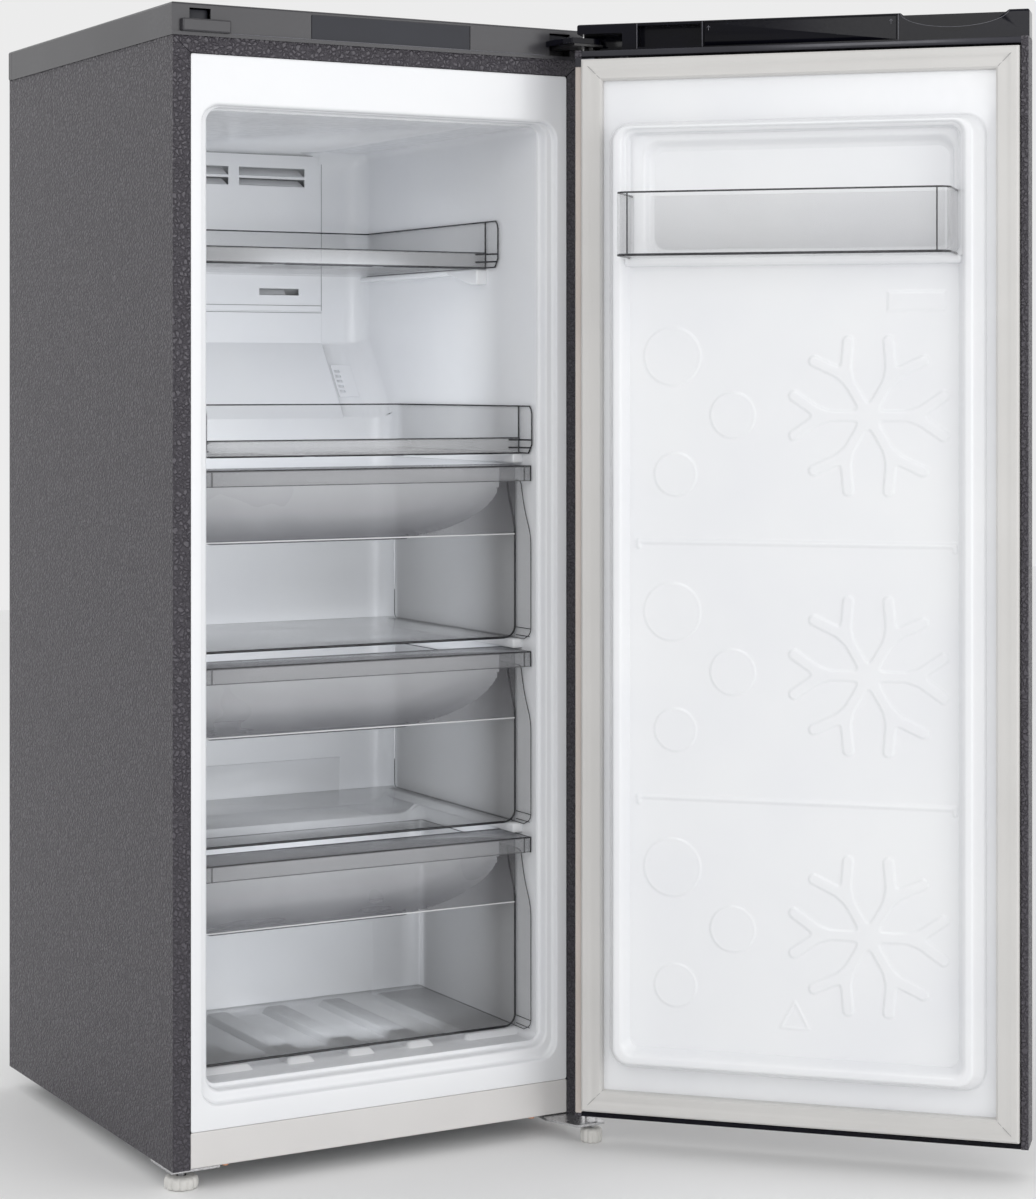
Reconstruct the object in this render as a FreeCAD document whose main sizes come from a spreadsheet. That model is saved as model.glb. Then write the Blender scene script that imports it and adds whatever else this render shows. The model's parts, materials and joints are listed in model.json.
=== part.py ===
import FreeCAD, Part
import math
import os
import re

import Sketcher

# Upright single-door freezer, millimetres.
# Frame: +X to the right of someone facing it, +Y to the back, +Z up.
# Origin: on the floor, on the centre line, in the plane of the cabinet's front flange.
# The door's pieces are drawn shut, about the hinge axis, and their Placement swings them open.

doc = FreeCAD.newDocument("upright_freezer")
sheet = doc.addObject("Spreadsheet::Sheet", "Sizes")

SIZES = (
    ("cab_width", 560, "cabinet, over the side panels"),
    ("cab_depth", 580, "cabinet, front flange to back panel"),
    ("foot_height", 26, "floor to the bottom edge of the side panels"),
    ("panel_top", 1365, "floor to the top panel"),
    ("cover_height", 39, "top cover above the top panel"),
    ("cover_lap", 1.5, "top cover beyond each side panel"),
    ("steel", 1, "sheet steel"),
    ("plastic", 2.5, "moulded covers, drawers and trays"),
    ("skin", 2, "vacuum-formed liners"),
    ("easing", 0.3, "gap between neighbours that move"),
    ("flange", 22.5, "front flange of a side panel"),
    ("top_flange", 20.3, "front flange of the top panel"),
    ("kick_top", 69.4, "floor to the top of the kick panel"),
    ("mouth_side", 37, "side panel to the liner's mouth"),
    ("mouth_low", 98, "floor to the bottom of the mouth"),
    ("mouth_lintel", 80, "top panel down to the top of the mouth"),
    ("mouth_step", 10, "depth of the mouth's first step"),
    ("side_wall", 53, "side panel's outside to the cold room"),
    ("room_floor", 118, "floor to the liner's floor"),
    ("roof", 84, "top panel down to the cold room's ceiling"),
    ("corner_radius", 10, "rounding of the cold room's corners"),
    ("back_wall", 50, "upper back wall in from the back panel"),
    ("duct_space", 73, "lower back wall in from the upper one"),
    ("pump_space", 105, "compressor hump's wall in from the lower back wall"),
    ("slope_high", 1011, "floor to the top of the sloped back wall"),
    ("slope_low", 905, "floor to the foot of the sloped back wall"),
    ("hump_top", 364, "floor to the top of the compressor hump"),
    ("hump_wall", 35, "insulation over the compressor space"),
    ("recess_half", 158, "half width of the evaporator recess"),
    ("recess_wall", 32, "recess's back in from the back panel"),
    ("recess_low", 440, "floor to the bottom of the recess"),
    ("recess_drop", 9, "cold room's ceiling down to the top of the recess"),
    ("duct_foot", 1056, "floor to the joint between the two back covers"),
    ("rail_reach", 14, "how far a tray rail stands out of the wall"),
    ("rail_height", 12, "height of a drawer rail"),
    ("bin_gap", 1.5, "gap at each side of a drawer or tray"),
    ("bar_front", 34, "flange plane to the drawer's grip bar"),
    ("plate_front", 72, "flange plane to the drawer's front plate"),
    ("first_bar", 849.5, "floor to the top of the first grip bar"),
    ("bar_height", 20, "height of a grip bar"),
    ("scoop_height", 69, "height of the hollow under a grip bar"),
    ("scoop_depth", 40, "depth of the hollow behind the front plate"),
    ("drawer_pitch", 237, "one drawer down to the next"),
    ("drawer_space", 14, "from a drawer's underside down to the next grip bar"),
    ("rib_height", 8, "ribs on the cold room's floor"),
    ("drawer_rear", 39, "space behind the first two drawers"),
    ("last_rear", 12, "space behind the lowest drawer"),
    ("upper_tray_low", 1105, "floor to the underside of the upper tray"),
    ("tray_space", 14.5, "from the first grip bar up to the lower tray"),
    ("tray_wall", 62, "height of a tray's sides"),
    ("tray_lip", 20, "height of a tray's front lip"),
    ("upper_tray_front", 120, "flange plane to the upper tray's ears"),
    ("lower_tray_front", 31, "flange plane to the lower tray's ears"),
    ("tray_ear", 32, "how far a tray's ears stand before its lip"),
    ("upper_tray_rear", 25, "space behind the upper tray"),
    ("lower_tray_rear", 50, "space behind the lower tray"),
    ("hinge_inset", 13, "hinge axis in from the door's edge"),
    ("hinge_out", 44.4, "hinge axis in front of the flange plane"),
    ("door_open", 134.6, "how far the door stands open, degrees"),
    ("door_low", 39, "floor to the bottom of the door"),
    ("door_rise", 5, "top of the door's panel above the cabinet's top panel"),
    ("door_face", 15.3, "hinge axis to the door's outer face"),
    ("gasket_thick", 11.4, "thickness of the gasket"),
    ("gasket_wide", 28, "width of the gasket"),
    ("gasket_inset", 10, "gasket in from the door's edges"),
    ("gasket_sill", 8.5, "door's bottom edge up to the gasket"),
    ("gasket_drop", 11.7, "door's top edge down to the gasket"),
    ("dike_gap", 10.5, "gap beside the dike in the shut mouth"),
    ("dike_shift", 2, "dike's middle off the mouth's middle, towards the hinge"),
    ("dike_sill", 7.6, "gap under the dike in the shut mouth"),
    ("dike_lintel", 7.4, "gap over the dike in the shut mouth"),
    ("dike_rise", 25.9, "dike's ridge above the gasket's face"),
    ("dike_slope", 24, "slope of the dike's sides, degrees"),
    ("dike_width", 23, "dike's foot to the inner panel's edge"),
    ("panel_drop", 15, "door's inner panel below the dike's ridge"),
    ("niche_drop", 34, "wall behind the rack below the dike's ridge"),
    ("niche_tall", 155, "height of the niche"),
    ("niche_top", 14.6, "dike's top edge down to the niche"),
    ("niche_side", 28.5, "dike's foot in to the niche's side"),
    ("rack_gap", 3, "gap beside the rack"),
    ("rack_deep", 100, "depth of the niche and the rack"),
    ("rack_height", 78, "height of the rack"),
    ("head_inner", 20.3, "hinge axis to the head's inner face"),
    ("notch_height", 22, "height of the notch over the door for the hinge"),
    ("notch_wide", 45, "hinge notch along the door"),
    ("pin_radius", 4, "hinge pins"),
    ("bush_radius", 7, "hinge bushes, outside"),
    ("bush_clear", 0.08, "running clearance round a hinge pin"),
    ("arm_rise", 12, "underside of the hinge arm above the top panel"),
    ("arm_thick", 3, "hinge arms and brackets"),
    ("left_foot_in", 21, "left foot in from the side panel"),
    ("left_foot_y", 25, "left foot from the flange plane"),
    ("left_knob", 20.5, "radius of the left foot's knob"),
    ("right_knob", 14, "radius of the right foot's knob"),
    ("stud_radius", 4.5, "levelling studs"),
    ("roller_radius", 15, "rear rollers"),
    ("roller_in", 60, "rear rollers in from the side panels"),
    ("roller_back", 40, "rear rollers in from the back panel"),
    ("roller_wide", 18, "width of a rear roller"),
    ("axle_radius", 3, "roller axles"),
    ("fan_height", 912, "floor to the fan's axis"),
    ("fan_radius", 42, "fan blade tips"),
    ("tube_radius", 4, "evaporator tube"),
    ("drain_radius", 8, "drain tube"),
    ("pump_x", 50, "compressor from the centre line"),
    ("pump_back", 96, "compressor in from the back panel"),
    ("pump_radius", 72, "compressor shell"),
    ("gland_x", -200, "cord gland from the centre line"),
    ("gland_height", 90, "floor to the cord gland"),
)
for row, (alias, size, note) in enumerate(SIZES, start=1):
    sheet.set("A%d" % row, note)
    sheet.set("B%d" % row, str(size))
    sheet.setAlias("B%d" % row, alias)
doc.recompute()
ALIASES = {alias for alias, size, note in SIZES}

# Sizes that follow from the ones on the sheet.
DERIVED = {
    "mouth_half": "(cab_width / 2 - mouth_side)",
    "mouth_high": "(panel_top - mouth_lintel)",
    "room_half": "(cab_width / 2 - side_wall)",
    "room_ceiling": "(panel_top - roof)",
    "back_upper": "(cab_depth - back_wall)",
    "back_lower": "(back_upper - duct_space)",
    "back_hump": "(back_lower - pump_space)",
    "recess_back": "(cab_depth - recess_wall)",
    "recess_high": "(room_ceiling - recess_drop)",
    "bin_half": "(room_half - bin_gap)",
    "drawer_tall": "(drawer_pitch - drawer_space)",
    "last_floor": "(room_floor + rib_height + easing)",
    "drawer_back": "(back_lower - drawer_rear)",
    "last_back": "(back_hump - last_rear)",
    "lower_tray_low": "(first_bar + tray_space)",
    "upper_tray_back": "(back_upper - upper_tray_rear)",
    "lower_tray_back": "(back_lower - lower_tray_rear)",
    "door_high": "(panel_top + door_rise)",
    "head_high": "(panel_top + cover_height)",
    "gasket_face": "(hinge_out - easing)",
    "door_rim": "(gasket_face - gasket_thick)",
    "gasket_low": "(door_low + gasket_sill)",
    "gasket_high": "(door_high - gasket_drop)",
    "dike_half": "(mouth_half - dike_gap)",
    "dike_middle": "(dike_shift + hinge_inset - cab_width / 2)",
    "dike_low": "(mouth_low + dike_sill)",
    "dike_high": "(mouth_high - dike_lintel)",
    "dike_top": "(gasket_face + dike_rise)",
    "panel_plane": "(dike_top - panel_drop)",
    "niche_plane": "(dike_top - niche_drop)",
    "niche_high": "(dike_high - niche_top)",
    "niche_low": "(niche_high - niche_tall)",
    "niche_half": "(dike_half - niche_side)",
    "rack_half": "(niche_half - rack_gap)",
    "rack_front": "(niche_plane + rack_deep)",
    "arm_low": "(panel_top + arm_rise)",
    "left_foot_x": "(left_foot_in - cab_width / 2)",
    "roller_x": "(cab_width / 2 - roller_in)",
    "roller_y": "(cab_depth - roller_back)",
    "pump_y": "(cab_depth - pump_back)",
}

X, Y, Z = (FreeCAD.Vector(*unit) for unit in ((1, 0, 0), (0, 1, 0), (0, 0, 1)))
TURNS = {"x": FreeCAD.Rotation(Y, 90), "y": FreeCAD.Rotation(X, -90), "z": FreeCAD.Rotation(Z, 0)}
nodes = []


# ---- formulas on the sheet ----

def linked(text):
    """Write a formula of size names as an expression on the sheet."""
    return re.sub(r"[a-z]\w+", lambda word: linked(DERIVED[word[0]]) if word[0] in DERIVED
                  else "Sizes." * (word[0] in ALIASES) + word[0], str(text))


def bind(thing, prop, text):
    thing.setExpression(prop, linked(text))


def value(text):
    return float(sheet.evalExpression(linked(text)))


# ---- solids made of Part primitives ----

def box(name, x, y, z):
    """A box between two planes on each axis, each pair given as low and high formulas."""
    thing = doc.addObject("Part::Box", name)
    for side, axis, (low, high) in zip(("Length", "Width", "Height"), "xyz", (x, y, z)):
        bind(thing, side, "(%s) - (%s)" % (high, low))
        bind(thing, "Placement.Base." + axis, low)
    return thing


def rod(name, axis, middle, radius, low, high):
    """A cylinder along an axis; middle holds its two other coordinates, in x, y, z order."""
    thing = doc.addObject("Part::Cylinder", name)
    thing.Placement.Rotation = TURNS[axis]
    bind(thing, "Radius", radius)
    bind(thing, "Height", "(%s) - (%s)" % (high, low))
    across = iter(middle)
    for letter in "xyz":
        bind(thing, "Placement.Base." + letter, low if letter == axis else next(across))
    return thing


def fuse(name, *things):
    joined = doc.addObject("Part::MultiFuse", name)
    joined.Shapes = list(things)
    return joined


def cut(name, base, *tools):
    left = doc.addObject("Part::Cut", name)
    left.Base = base
    left.Tool = tools[0] if len(tools) == 1 else fuse(name + "_tools", *tools)
    return left


def group(name, *things):
    bundle = doc.addObject("Part::Compound", name)
    bundle.Links = list(things)
    return bundle


# ---- solids made in a PartDesign body ----

PLANES = {"XY": ("XY_Plane", 1), "XZ": ("XZ_Plane", -1), "YZ": ("YZ_Plane", 1)}


def sketch_on(host, plane, level):
    role, side = PLANES[plane]
    sketch = host.newObject("Sketcher::SketchObject", host.Name + "_sketch")
    origin_plane = next(item for item in host.Origin.OriginFeatures if item.Role == role)
    sketch.AttachmentSupport = [(origin_plane, "")]
    sketch.MapMode = "FlatFace"
    bind(sketch, "AttachmentOffset.Base.z", "%d * (%s)" % (side, level))
    return sketch


def place(sketch, geometry, point, at):
    """Constrain a sketch point to a pair of formulas."""
    for kind, text in zip(("DistanceX", "DistanceY"), at):
        sketch.addConstraint(Sketcher.Constraint(kind, -1, 1, geometry, point, value(text)))
        bind(sketch, "Constraints[%d]" % (sketch.ConstraintCount - 1), text)


def outline(sketch, corners):
    """A closed outline. A corner is two formulas; a third marks an arc to the next corner, with its
    bulge, the arc's height over half its chord, to the left of the way round when positive."""
    count = len(corners)
    at = [FreeCAD.Vector(value(corner[0]), value(corner[1]), 0) for corner in corners]
    for index, corner in enumerate(corners):
        start = at[index]
        end = at[(index + 1) % count]
        if len(corner) == 2:
            sketch.addGeometry(Part.LineSegment(start, end), False)
            continue
        half = (end - start) * 0.5
        top = start + half + FreeCAD.Vector(-half.y, half.x, 0) * float(corner[2])
        sketch.addGeometry(Part.Arc(start, top, end), False)
    ends = []
    for index, corner in enumerate(corners):
        edge = sketch.Geometry[index]
        turned = edge.StartPoint.distanceToPoint(at[index]) > edge.EndPoint.distanceToPoint(at[index])
        ends.append((2, 1) if turned else (1, 2))
    for index in range(count):
        after = (index + 1) % count
        sketch.addConstraint(Sketcher.Constraint("Coincident", index, ends[index][1], after, ends[after][0]))
    for index, corner in enumerate(corners):
        place(sketch, index, ends[index][0], corner)
        if len(corner) > 2:
            edge = sketch.Geometry[index]
            sketch.addConstraint(Sketcher.Constraint("Radius", index, edge.Radius))


def extrude(host, kind, plane, low, high, corners=None, disc=None, taper=None):
    """A Pad or Pocket from low to high along the plane's axis."""
    sketch = sketch_on(host, plane, low)
    if corners:
        outline(sketch, corners)
    else:
        middle, radius = disc
        sketch.addGeometry(Part.Circle(FreeCAD.Vector(value(middle[0]), value(middle[1]), 0), Z,
                                       value(radius)), False)
        place(sketch, 0, 3, middle)
        sketch.addConstraint(Sketcher.Constraint("Radius", 0, value(radius)))
        bind(sketch, "Constraints[%d]" % (sketch.ConstraintCount - 1), radius)
    feature = host.newObject("PartDesign::" + kind, host.Name + "_" + kind.lower())
    feature.Profile = sketch
    bind(feature, "Length", "(%s) - (%s)" % (high, low))
    feature.Reversed = (PLANES[plane][1] < 0) == (kind == "Pad")
    if taper:
        bind(feature, "TaperAngle", taper)
    return feature


def body(name, plane, low, high, corners=None, disc=None, taper=None):
    host = doc.addObject("PartDesign::Body", name)
    extrude(host, "Pad", plane, low, high, corners, disc, taper)
    return host


def rectangle(x, y):
    return [(x[0], y[0]), (x[1], y[0]), (x[1], y[1]), (x[0], y[1])]


def round_edges(host, radius, chosen):
    """Round the edges of the body so far that the test picks."""
    doc.recompute()
    base = host.Tip
    names = ["Edge%d" % count for count, edge in enumerate(base.Shape.Edges, start=1) if chosen(edge)]
    rounding = host.newObject("PartDesign::Fillet", host.Name + "_round")
    rounding.Base = (base, names)
    bind(rounding, "Radius", radius)


def runs_along(edge, axis):
    """Whether a straight edge lies along an axis."""
    if edge.Curve.TypeId != "Part::GeomLine":
        return False
    way = edge.Vertexes[1].Point - edge.Vertexes[0].Point
    return way.getAngle(axis) < 0.01 or way.getAngle(axis) > math.pi - 0.01


# ---- tubes and finished pieces ----

def bent_tube(name, corners, radius, bend):
    """A tube along straight runs joined by tangent arcs."""
    points = [FreeCAD.Vector(*(value(text) for text in corner)) for corner in corners]
    size = value(radius)
    edges = []
    start = points[0]
    for before, corner, after in zip(points, points[1:], points[2:]):
        back = (before - corner).normalize()
        ahead = (after - corner).normalize()
        trim = bend * math.tan((math.pi - back.getAngle(ahead)) / 2)
        arc_start = corner + back * trim
        arc_end = corner + ahead * trim
        centre = corner + (back + ahead).normalize() * math.hypot(bend, trim)
        arc_top = centre + (corner - centre).normalize() * bend
        edges.append(Part.LineSegment(start, arc_start).toShape())
        edges.append(Part.Arc(arc_start, arc_top, arc_end).toShape())
        start = arc_end
    edges.append(Part.LineSegment(start, points[-1]).toShape())
    ring = Part.Wire([Part.Circle(points[0], points[1] - points[0], size).toShape()])
    thing = doc.addObject("Part::Feature", name)
    thing.Shape = Part.Wire(edges).makePipeShell([ring], True, False)
    return thing


def finish(name, thing, on_door=False):
    """Name a sub-part and, on the door, swing it open about the hinge axis."""
    thing.Label = name
    if on_door:
        thing.Placement.Rotation = FreeCAD.Rotation(Z, 1)
        bind(thing, "Placement.Rotation.Angle", "door_open")
        bind(thing, "Placement.Base.x", AXIS_X)
        bind(thing, "Placement.Base.y", "-hinge_out")
    nodes.append(thing)
    return thing


AXIS_X = "(cab_width / 2 - hinge_inset)"
SIDE = "(cab_width / 2)"
INSIDE = "(cab_width / 2 - steel)"
COVER_TOP = "(panel_top + cover_height)"
PUMP_CEILING = "(hump_top - hump_wall)"
PUMP_WALL = "(back_hump + hump_wall)"
FLANGE_IN = "(cab_width / 2 - flange)"


# ---- cabinet: steel shell ----

def side_panel(name, hand):
    """Side wall with a mitred front flange and a rear flange; hand is 1 on the right."""
    across = "%d * " % hand
    corners = [(across + FLANGE_IN, "0"), (across + SIDE, "0"), (across + SIDE, "cab_depth"),
               (across + "(cab_width / 2 - 18)", "cab_depth"),
               (across + "(cab_width / 2 - 18)", "cab_depth - steel"),
               (across + INSIDE, "cab_depth - steel"), (across + INSIDE, "steel"),
               (across + FLANGE_IN, "steel")]
    panel = body(name, "XY", "foot_height", "panel_top", corners)
    extrude(panel, "Pocket", "XZ", "0", "steel",
            [(across + FLANGE_IN, "panel_top - top_flange"), (across + SIDE, "panel_top"),
             (across + FLANGE_IN, "panel_top")])
    finish(name, panel)


side_panel("left_side_panel", -1)
side_panel("right_side_panel", 1)

top_panel = body("top_panel", "XY", "panel_top - steel", "panel_top",
                 rectangle(("-" + INSIDE, INSIDE), ("steel", "cab_depth - steel")))
extrude(top_panel, "Pad", "XZ", "0", "steel",
        [("-" + SIDE, "panel_top"), ("-" + FLANGE_IN, "panel_top - top_flange"),
         (FLANGE_IN, "panel_top - top_flange"), (SIDE, "panel_top")])
finish("top_panel", top_panel)

finish("back_panel", box("back_panel", ("18 - cab_width / 2", "cab_width / 2 - 18"),
                         ("cab_depth - steel", "cab_depth"), (PUMP_CEILING, "panel_top")))

drain_path = rod("drain_path", "z", ("0", "recess_back - 40"), "drain_radius", "300", "recess_low + 5")
pan_profile = [("14", "foot_height"), (PUMP_WALL + " + steel", "foot_height"),
               (PUMP_WALL + " + steel", PUMP_CEILING + " - steel"),
               ("cab_depth - steel", PUMP_CEILING + " - steel"), ("cab_depth - steel", PUMP_CEILING),
               (PUMP_WALL, PUMP_CEILING), (PUMP_WALL, "foot_height + steel"),
               ("14", "foot_height + steel")]
pan = body("pan", "YZ", "-" + INSIDE, INSIDE, pan_profile)
finish("base_pan", cut("base_pan", pan, drain_path))


# ---- cabinet: liner and foam ----

def room(name, grow):
    """The cold room as a solid, its walls pushed out by grow: 0 for the air, skin for the liner's back."""
    host = body(name, "YZ", "-(room_half + %s)" % grow, "room_half + " + grow, [
        ("0", "room_floor - " + grow), ("back_hump + " + grow, "room_floor - " + grow),
        ("back_hump + " + grow, "hump_top - " + grow), ("back_lower + " + grow, "hump_top - " + grow),
        ("back_lower + " + grow, "slope_low"), ("back_upper + " + grow, "slope_high"),
        ("back_upper + " + grow, "room_ceiling + " + grow), ("0", "room_ceiling + " + grow)])
    round_edges(host, "corner_radius + " + grow, lambda edge: runs_along(edge, Y) and edge.Length > 50)
    extrude(host, "Pad", "XZ", "0", "mouth_step + " + grow, rectangle(
        ("-(mouth_half + %s)" % grow, "mouth_half + " + grow),
        ("mouth_low - " + grow, "mouth_high + " + grow)))
    extrude(host, "Pad", "XZ", "0", "2.5 * mouth_step + " + grow, rectangle(
        ("-(room_half + 5 + %s)" % grow, "room_half + 5 + " + grow),
        ("room_floor - 5 - " + grow, "room_ceiling + 2 + " + grow)))
    extrude(host, "Pad", "XZ", "back_hump + 30", "recess_back + " + grow, rectangle(
        ("-(recess_half + %s)" % grow, "recess_half + " + grow),
        ("recess_low - " + grow, "recess_high + " + grow)))
    return host


room_air = room("room_air", "0")
room_hull = room("room_hull", "skin")
liner_flange = box("liner_flange", ("-" + FLANGE_IN + " + easing", FLANGE_IN + " - easing"), ("0", "skin"),
                   ("kick_top + easing", "panel_top - top_flange - easing"))


def wall_rail(name, hand, front, back, top, height):
    """A rail moulded in the liner's side wall."""
    inner = "%d * (room_half - rail_reach)" % hand
    outer = "%d * (room_half + skin / 2)" % hand
    ends = (inner, outer) if hand > 0 else (outer, inner)
    return box(name, ends, (front, back), ("%s - (%s)" % (top, height), top))


rails = []
for hand in (-1, 1):
    side = "right" if hand > 0 else "left"
    rails.append(wall_rail(side + "_upper_rail", hand, "158", "upper_tray_back", "upper_tray_low - easing",
                           "rail_height + 9"))
    rails.append(wall_rail(side + "_lower_rail", hand, "60", "lower_tray_back", "lower_tray_low - easing",
                           "rail_height"))
    for level in (0, 1):
        top = "first_bar - drawer_tall - easing - %d * drawer_pitch" % level
        rails.append(wall_rail("%s_rail_%d" % (side, level + 1), hand, "60", "drawer_back", top,
                               "rail_height"))
floor_ribs = [box("floor_rib_%d" % count, ("%d * 83 - 27.5 - 3 * 41.5" % count,
                                           "%d * 83 + 27.5 - 3 * 41.5" % count),
                  ("62", "back_hump - 20"), ("room_floor - skin / 2", "last_floor - easing"))
              for count in range(4)]
liner_shell = cut("liner_shell", fuse("liner_blank", room_hull, liner_flange), room_air, drain_path)
finish("inner_liner", fuse("inner_liner", liner_shell, *rails, *floor_ribs))

foam_block = box("foam_block", ("-" + INSIDE, INSIDE), ("steel", "cab_depth - steel"),
                 ("foot_height + steel", "panel_top - steel"))
pump_room = box("pump_room", ("-cab_width", "cab_width"), (PUMP_WALL, "cab_depth + 10"),
                 ("0", PUMP_CEILING))
kick_space = box("kick_space", ("-" + FLANGE_IN, FLANGE_IN), ("0", "14"), ("0", "kick_top"))
finish("foam_insulation", cut("foam_insulation", foam_block, room_hull, liner_flange, pump_room,
                              kick_space, drain_path))

kick = body("kick_panel", "YZ", "-" + FLANGE_IN + " + easing", FLANGE_IN + " - easing", [
    ("0", "foot_height + steel"), ("13.5", "foot_height + steel"),
    ("13.5", "foot_height + steel + plastic"), ("plastic", "foot_height + steel + plastic"),
    ("plastic", "kick_top"), ("0", "kick_top")])
screws = []
for hand in (-1, 1):
    across = "%d * (cab_width / 2 - 70)" % hand
    extrude(kick, "Pocket", "XY", "foot_height", "foot_height + 2 * plastic", disc=((across, "8"), "2"))
    screws.append(rod("screw_shank", "z", (across, "8"), "1.9", "foot_height", "foot_height + 10"))
    screws.append(rod("screw_head", "z", (across, "8"), "4", "foot_height - 1.6", "foot_height + steel"))
finish("kick_panel", kick)


# ---- cabinet: top cover ----

COVER_SIDE = "(cab_width / 2 + cover_lap)"
STRIP = "(cab_depth - 14)"
cover_block = body("cover_block", "XY", "panel_top", COVER_TOP,
                   rectangle(("-" + COVER_SIDE, COVER_SIDE), ("0", STRIP)))
extrude(cover_block, "Pad", "XY", "panel_top", "panel_top + 4.5",
        rectangle(("-" + COVER_SIDE, COVER_SIDE), ("-2", "1")))
round_edges(cover_block, "2.5", lambda edge: edge.BoundBox.ZMin > value(COVER_TOP) - 1
            and not (runs_along(edge, X) and edge.BoundBox.YMin > 100))
cover_hollow = box("cover_hollow", ("plastic - " + COVER_SIDE, COVER_SIDE + " - plastic"),
                   ("plastic", STRIP + " - plastic"), ("panel_top - 1", COVER_TOP + " - plastic"))
slots = [box("cover_slot", ends, ("-5", "plastic + 1"), ("panel_top + 4.5", COVER_TOP + " - 6"))
         for ends in (("21 - " + SIDE, "48 - " + SIDE), (SIDE + " - 48", SIDE + " - 18"))]
inlay_seat = box("inlay_seat", ("-101", "118"), ("-1", "1"), ("panel_top + 4.5", COVER_TOP + " - 4"))
finish("top_cover", cut("top_cover", cover_block, cover_hollow, inlay_seat, *slots))
finish("top_cover_inlay", box("top_cover_inlay", ("-100", "117"), ("0", "1"),
                              ("panel_top + 5", COVER_TOP + " - 4.5")))
strip_block = box("strip_block", ("-" + COVER_SIDE, COVER_SIDE), (STRIP, "cab_depth"),
                  ("panel_top", COVER_TOP))
strip_hollow = box("strip_hollow", ("plastic - " + COVER_SIDE, COVER_SIDE + " - plastic"),
                   (STRIP + " + plastic", "cab_depth - plastic"), ("panel_top - 1", COVER_TOP + " - plastic"))
finish("top_cover_rear_strip", cut("top_cover_rear_strip", strip_block, strip_hollow))
blank_cap = body("hinge_blank_cap", "XZ", "-7", "0",
                 rectangle(("10 - " + SIDE, "72 - " + SIDE), ("panel_top + 4.5", "panel_top + 20")))
round_edges(blank_cap, "2", lambda edge: edge.BoundBox.YMax < -6)
finish("hinge_blank_cap", blank_cap)
finish("control_box", box("control_box", ("-60", "80"), ("410", "520"), ("panel_top", "panel_top + 26")))


# ---- hinges ----

ARM_TOP = "(arm_low + arm_thick)"
ARM_LEFT = SIDE + " - 44"
ARM_RIGHT = SIDE + " - 22"
finish("top_hinge", fuse(
    "top_hinge",
    box("hinge_foot", (SIDE + " - 90", ARM_RIGHT), ("10", "80"), ("panel_top", "panel_top + arm_thick")),
    box("hinge_riser", (ARM_LEFT, ARM_RIGHT), ("10", "10 + arm_thick"), ("panel_top", ARM_TOP)),
    box("hinge_arm", (ARM_LEFT, ARM_RIGHT), ("-20", "10"), ("arm_low", ARM_TOP)),
    box("hinge_nose", (ARM_LEFT, AXIS_X + " + 11"), ("-hinge_out - 11", "-9"), ("arm_low", ARM_TOP)),
    rod("top_pin", "z", (AXIS_X, "-hinge_out"), "pin_radius", "door_high - 18", ARM_TOP)))
finish("hinge_cover", body("hinge_cover", "XY", ARM_TOP, ARM_TOP + " + 7", [
    (SIDE + " - 54", "-0.3"), (SIDE + " - 54", "-hinge_out"), (SIDE + " - 48", "-hinge_out - 12"),
    (AXIS_X + " + 5", "-hinge_out - 12"), (AXIS_X + " + 12", "-hinge_out - 5"),
    (AXIS_X + " + 12", "-12"), (AXIS_X + " + 4", "-0.3")]))

bottom_plate = body("bottom_plate", "XY", "foot_height - arm_thick", "foot_height", [
    (SIDE + " - 58", "60"), (SIDE + " - 58", "-10"), (SIDE + " - 40", "-hinge_out - 12"),
    (AXIS_X + " + 12", "-hinge_out - 12"),
    (AXIS_X + " + 12", "60")])
finish("bottom_hinge", fuse("bottom_hinge", bottom_plate,
                            rod("bottom_pin", "z", (AXIS_X, "-hinge_out"), "pin_radius",
                                "foot_height - 2", "door_low + 18"),
                            rod("bottom_collar", "z", (AXIS_X, "-hinge_out"), "bush_radius + 1",
                                "foot_height - 1", "door_low - easing")))
bolt_heads = [rod("hinge_bolt", "z", (across, along), "5", low, high)
              for across, along, low, high in (
                  (SIDE + " - 78", "30", "panel_top + arm_thick", "panel_top + arm_thick + 4"),
                  (SIDE + " - 78", "62", "panel_top + arm_thick", "panel_top + arm_thick + 4"),
                  (SIDE + " - 35", "62", "panel_top + arm_thick", "panel_top + arm_thick + 4"),
                  (SIDE + " - 44", "44", "foot_height - arm_thick - 4", "foot_height - arm_thick"),
                  (SIDE + " - 14", "44", "foot_height - arm_thick - 4", "foot_height - arm_thick"))]
kick_screws = [fuse("kick_screw", *screws[:2]), fuse("kick_screw", *screws[2:])]
finish("cabinet_screws", group("cabinet_screws", *kick_screws, *bolt_heads))


# ---- feet and rollers ----

def foot(name, x, y, knob, lobes, knob_high):
    """Levelling foot: a scalloped knob on a stud."""
    disc = rod(name + "_disc", "z", (x, y), knob, "0", knob_high)
    dents = []
    for count in range(lobes):
        turn = 360 / lobes * count
        dents.append(rod(name + "_dent", "z",
                         ("%s + (%s + 1) * cos(%g deg)" % (x, knob, turn),
                          "%s + (%s + 1) * sin(%g deg)" % (y, knob, turn)), "3", "4", knob_high + " + 1"))
    stud = rod(name + "_stud", "z", (x, y), "stud_radius", "1", "foot_height - arm_thick - easing")
    finish(name, fuse(name, cut(name + "_knob", disc, *dents), stud))


foot("left_foot", "left_foot_x", "left_foot_y", "left_knob", 10, "15")
foot("right_foot", AXIS_X, "-hinge_out", "right_knob", 8, "18")

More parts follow.
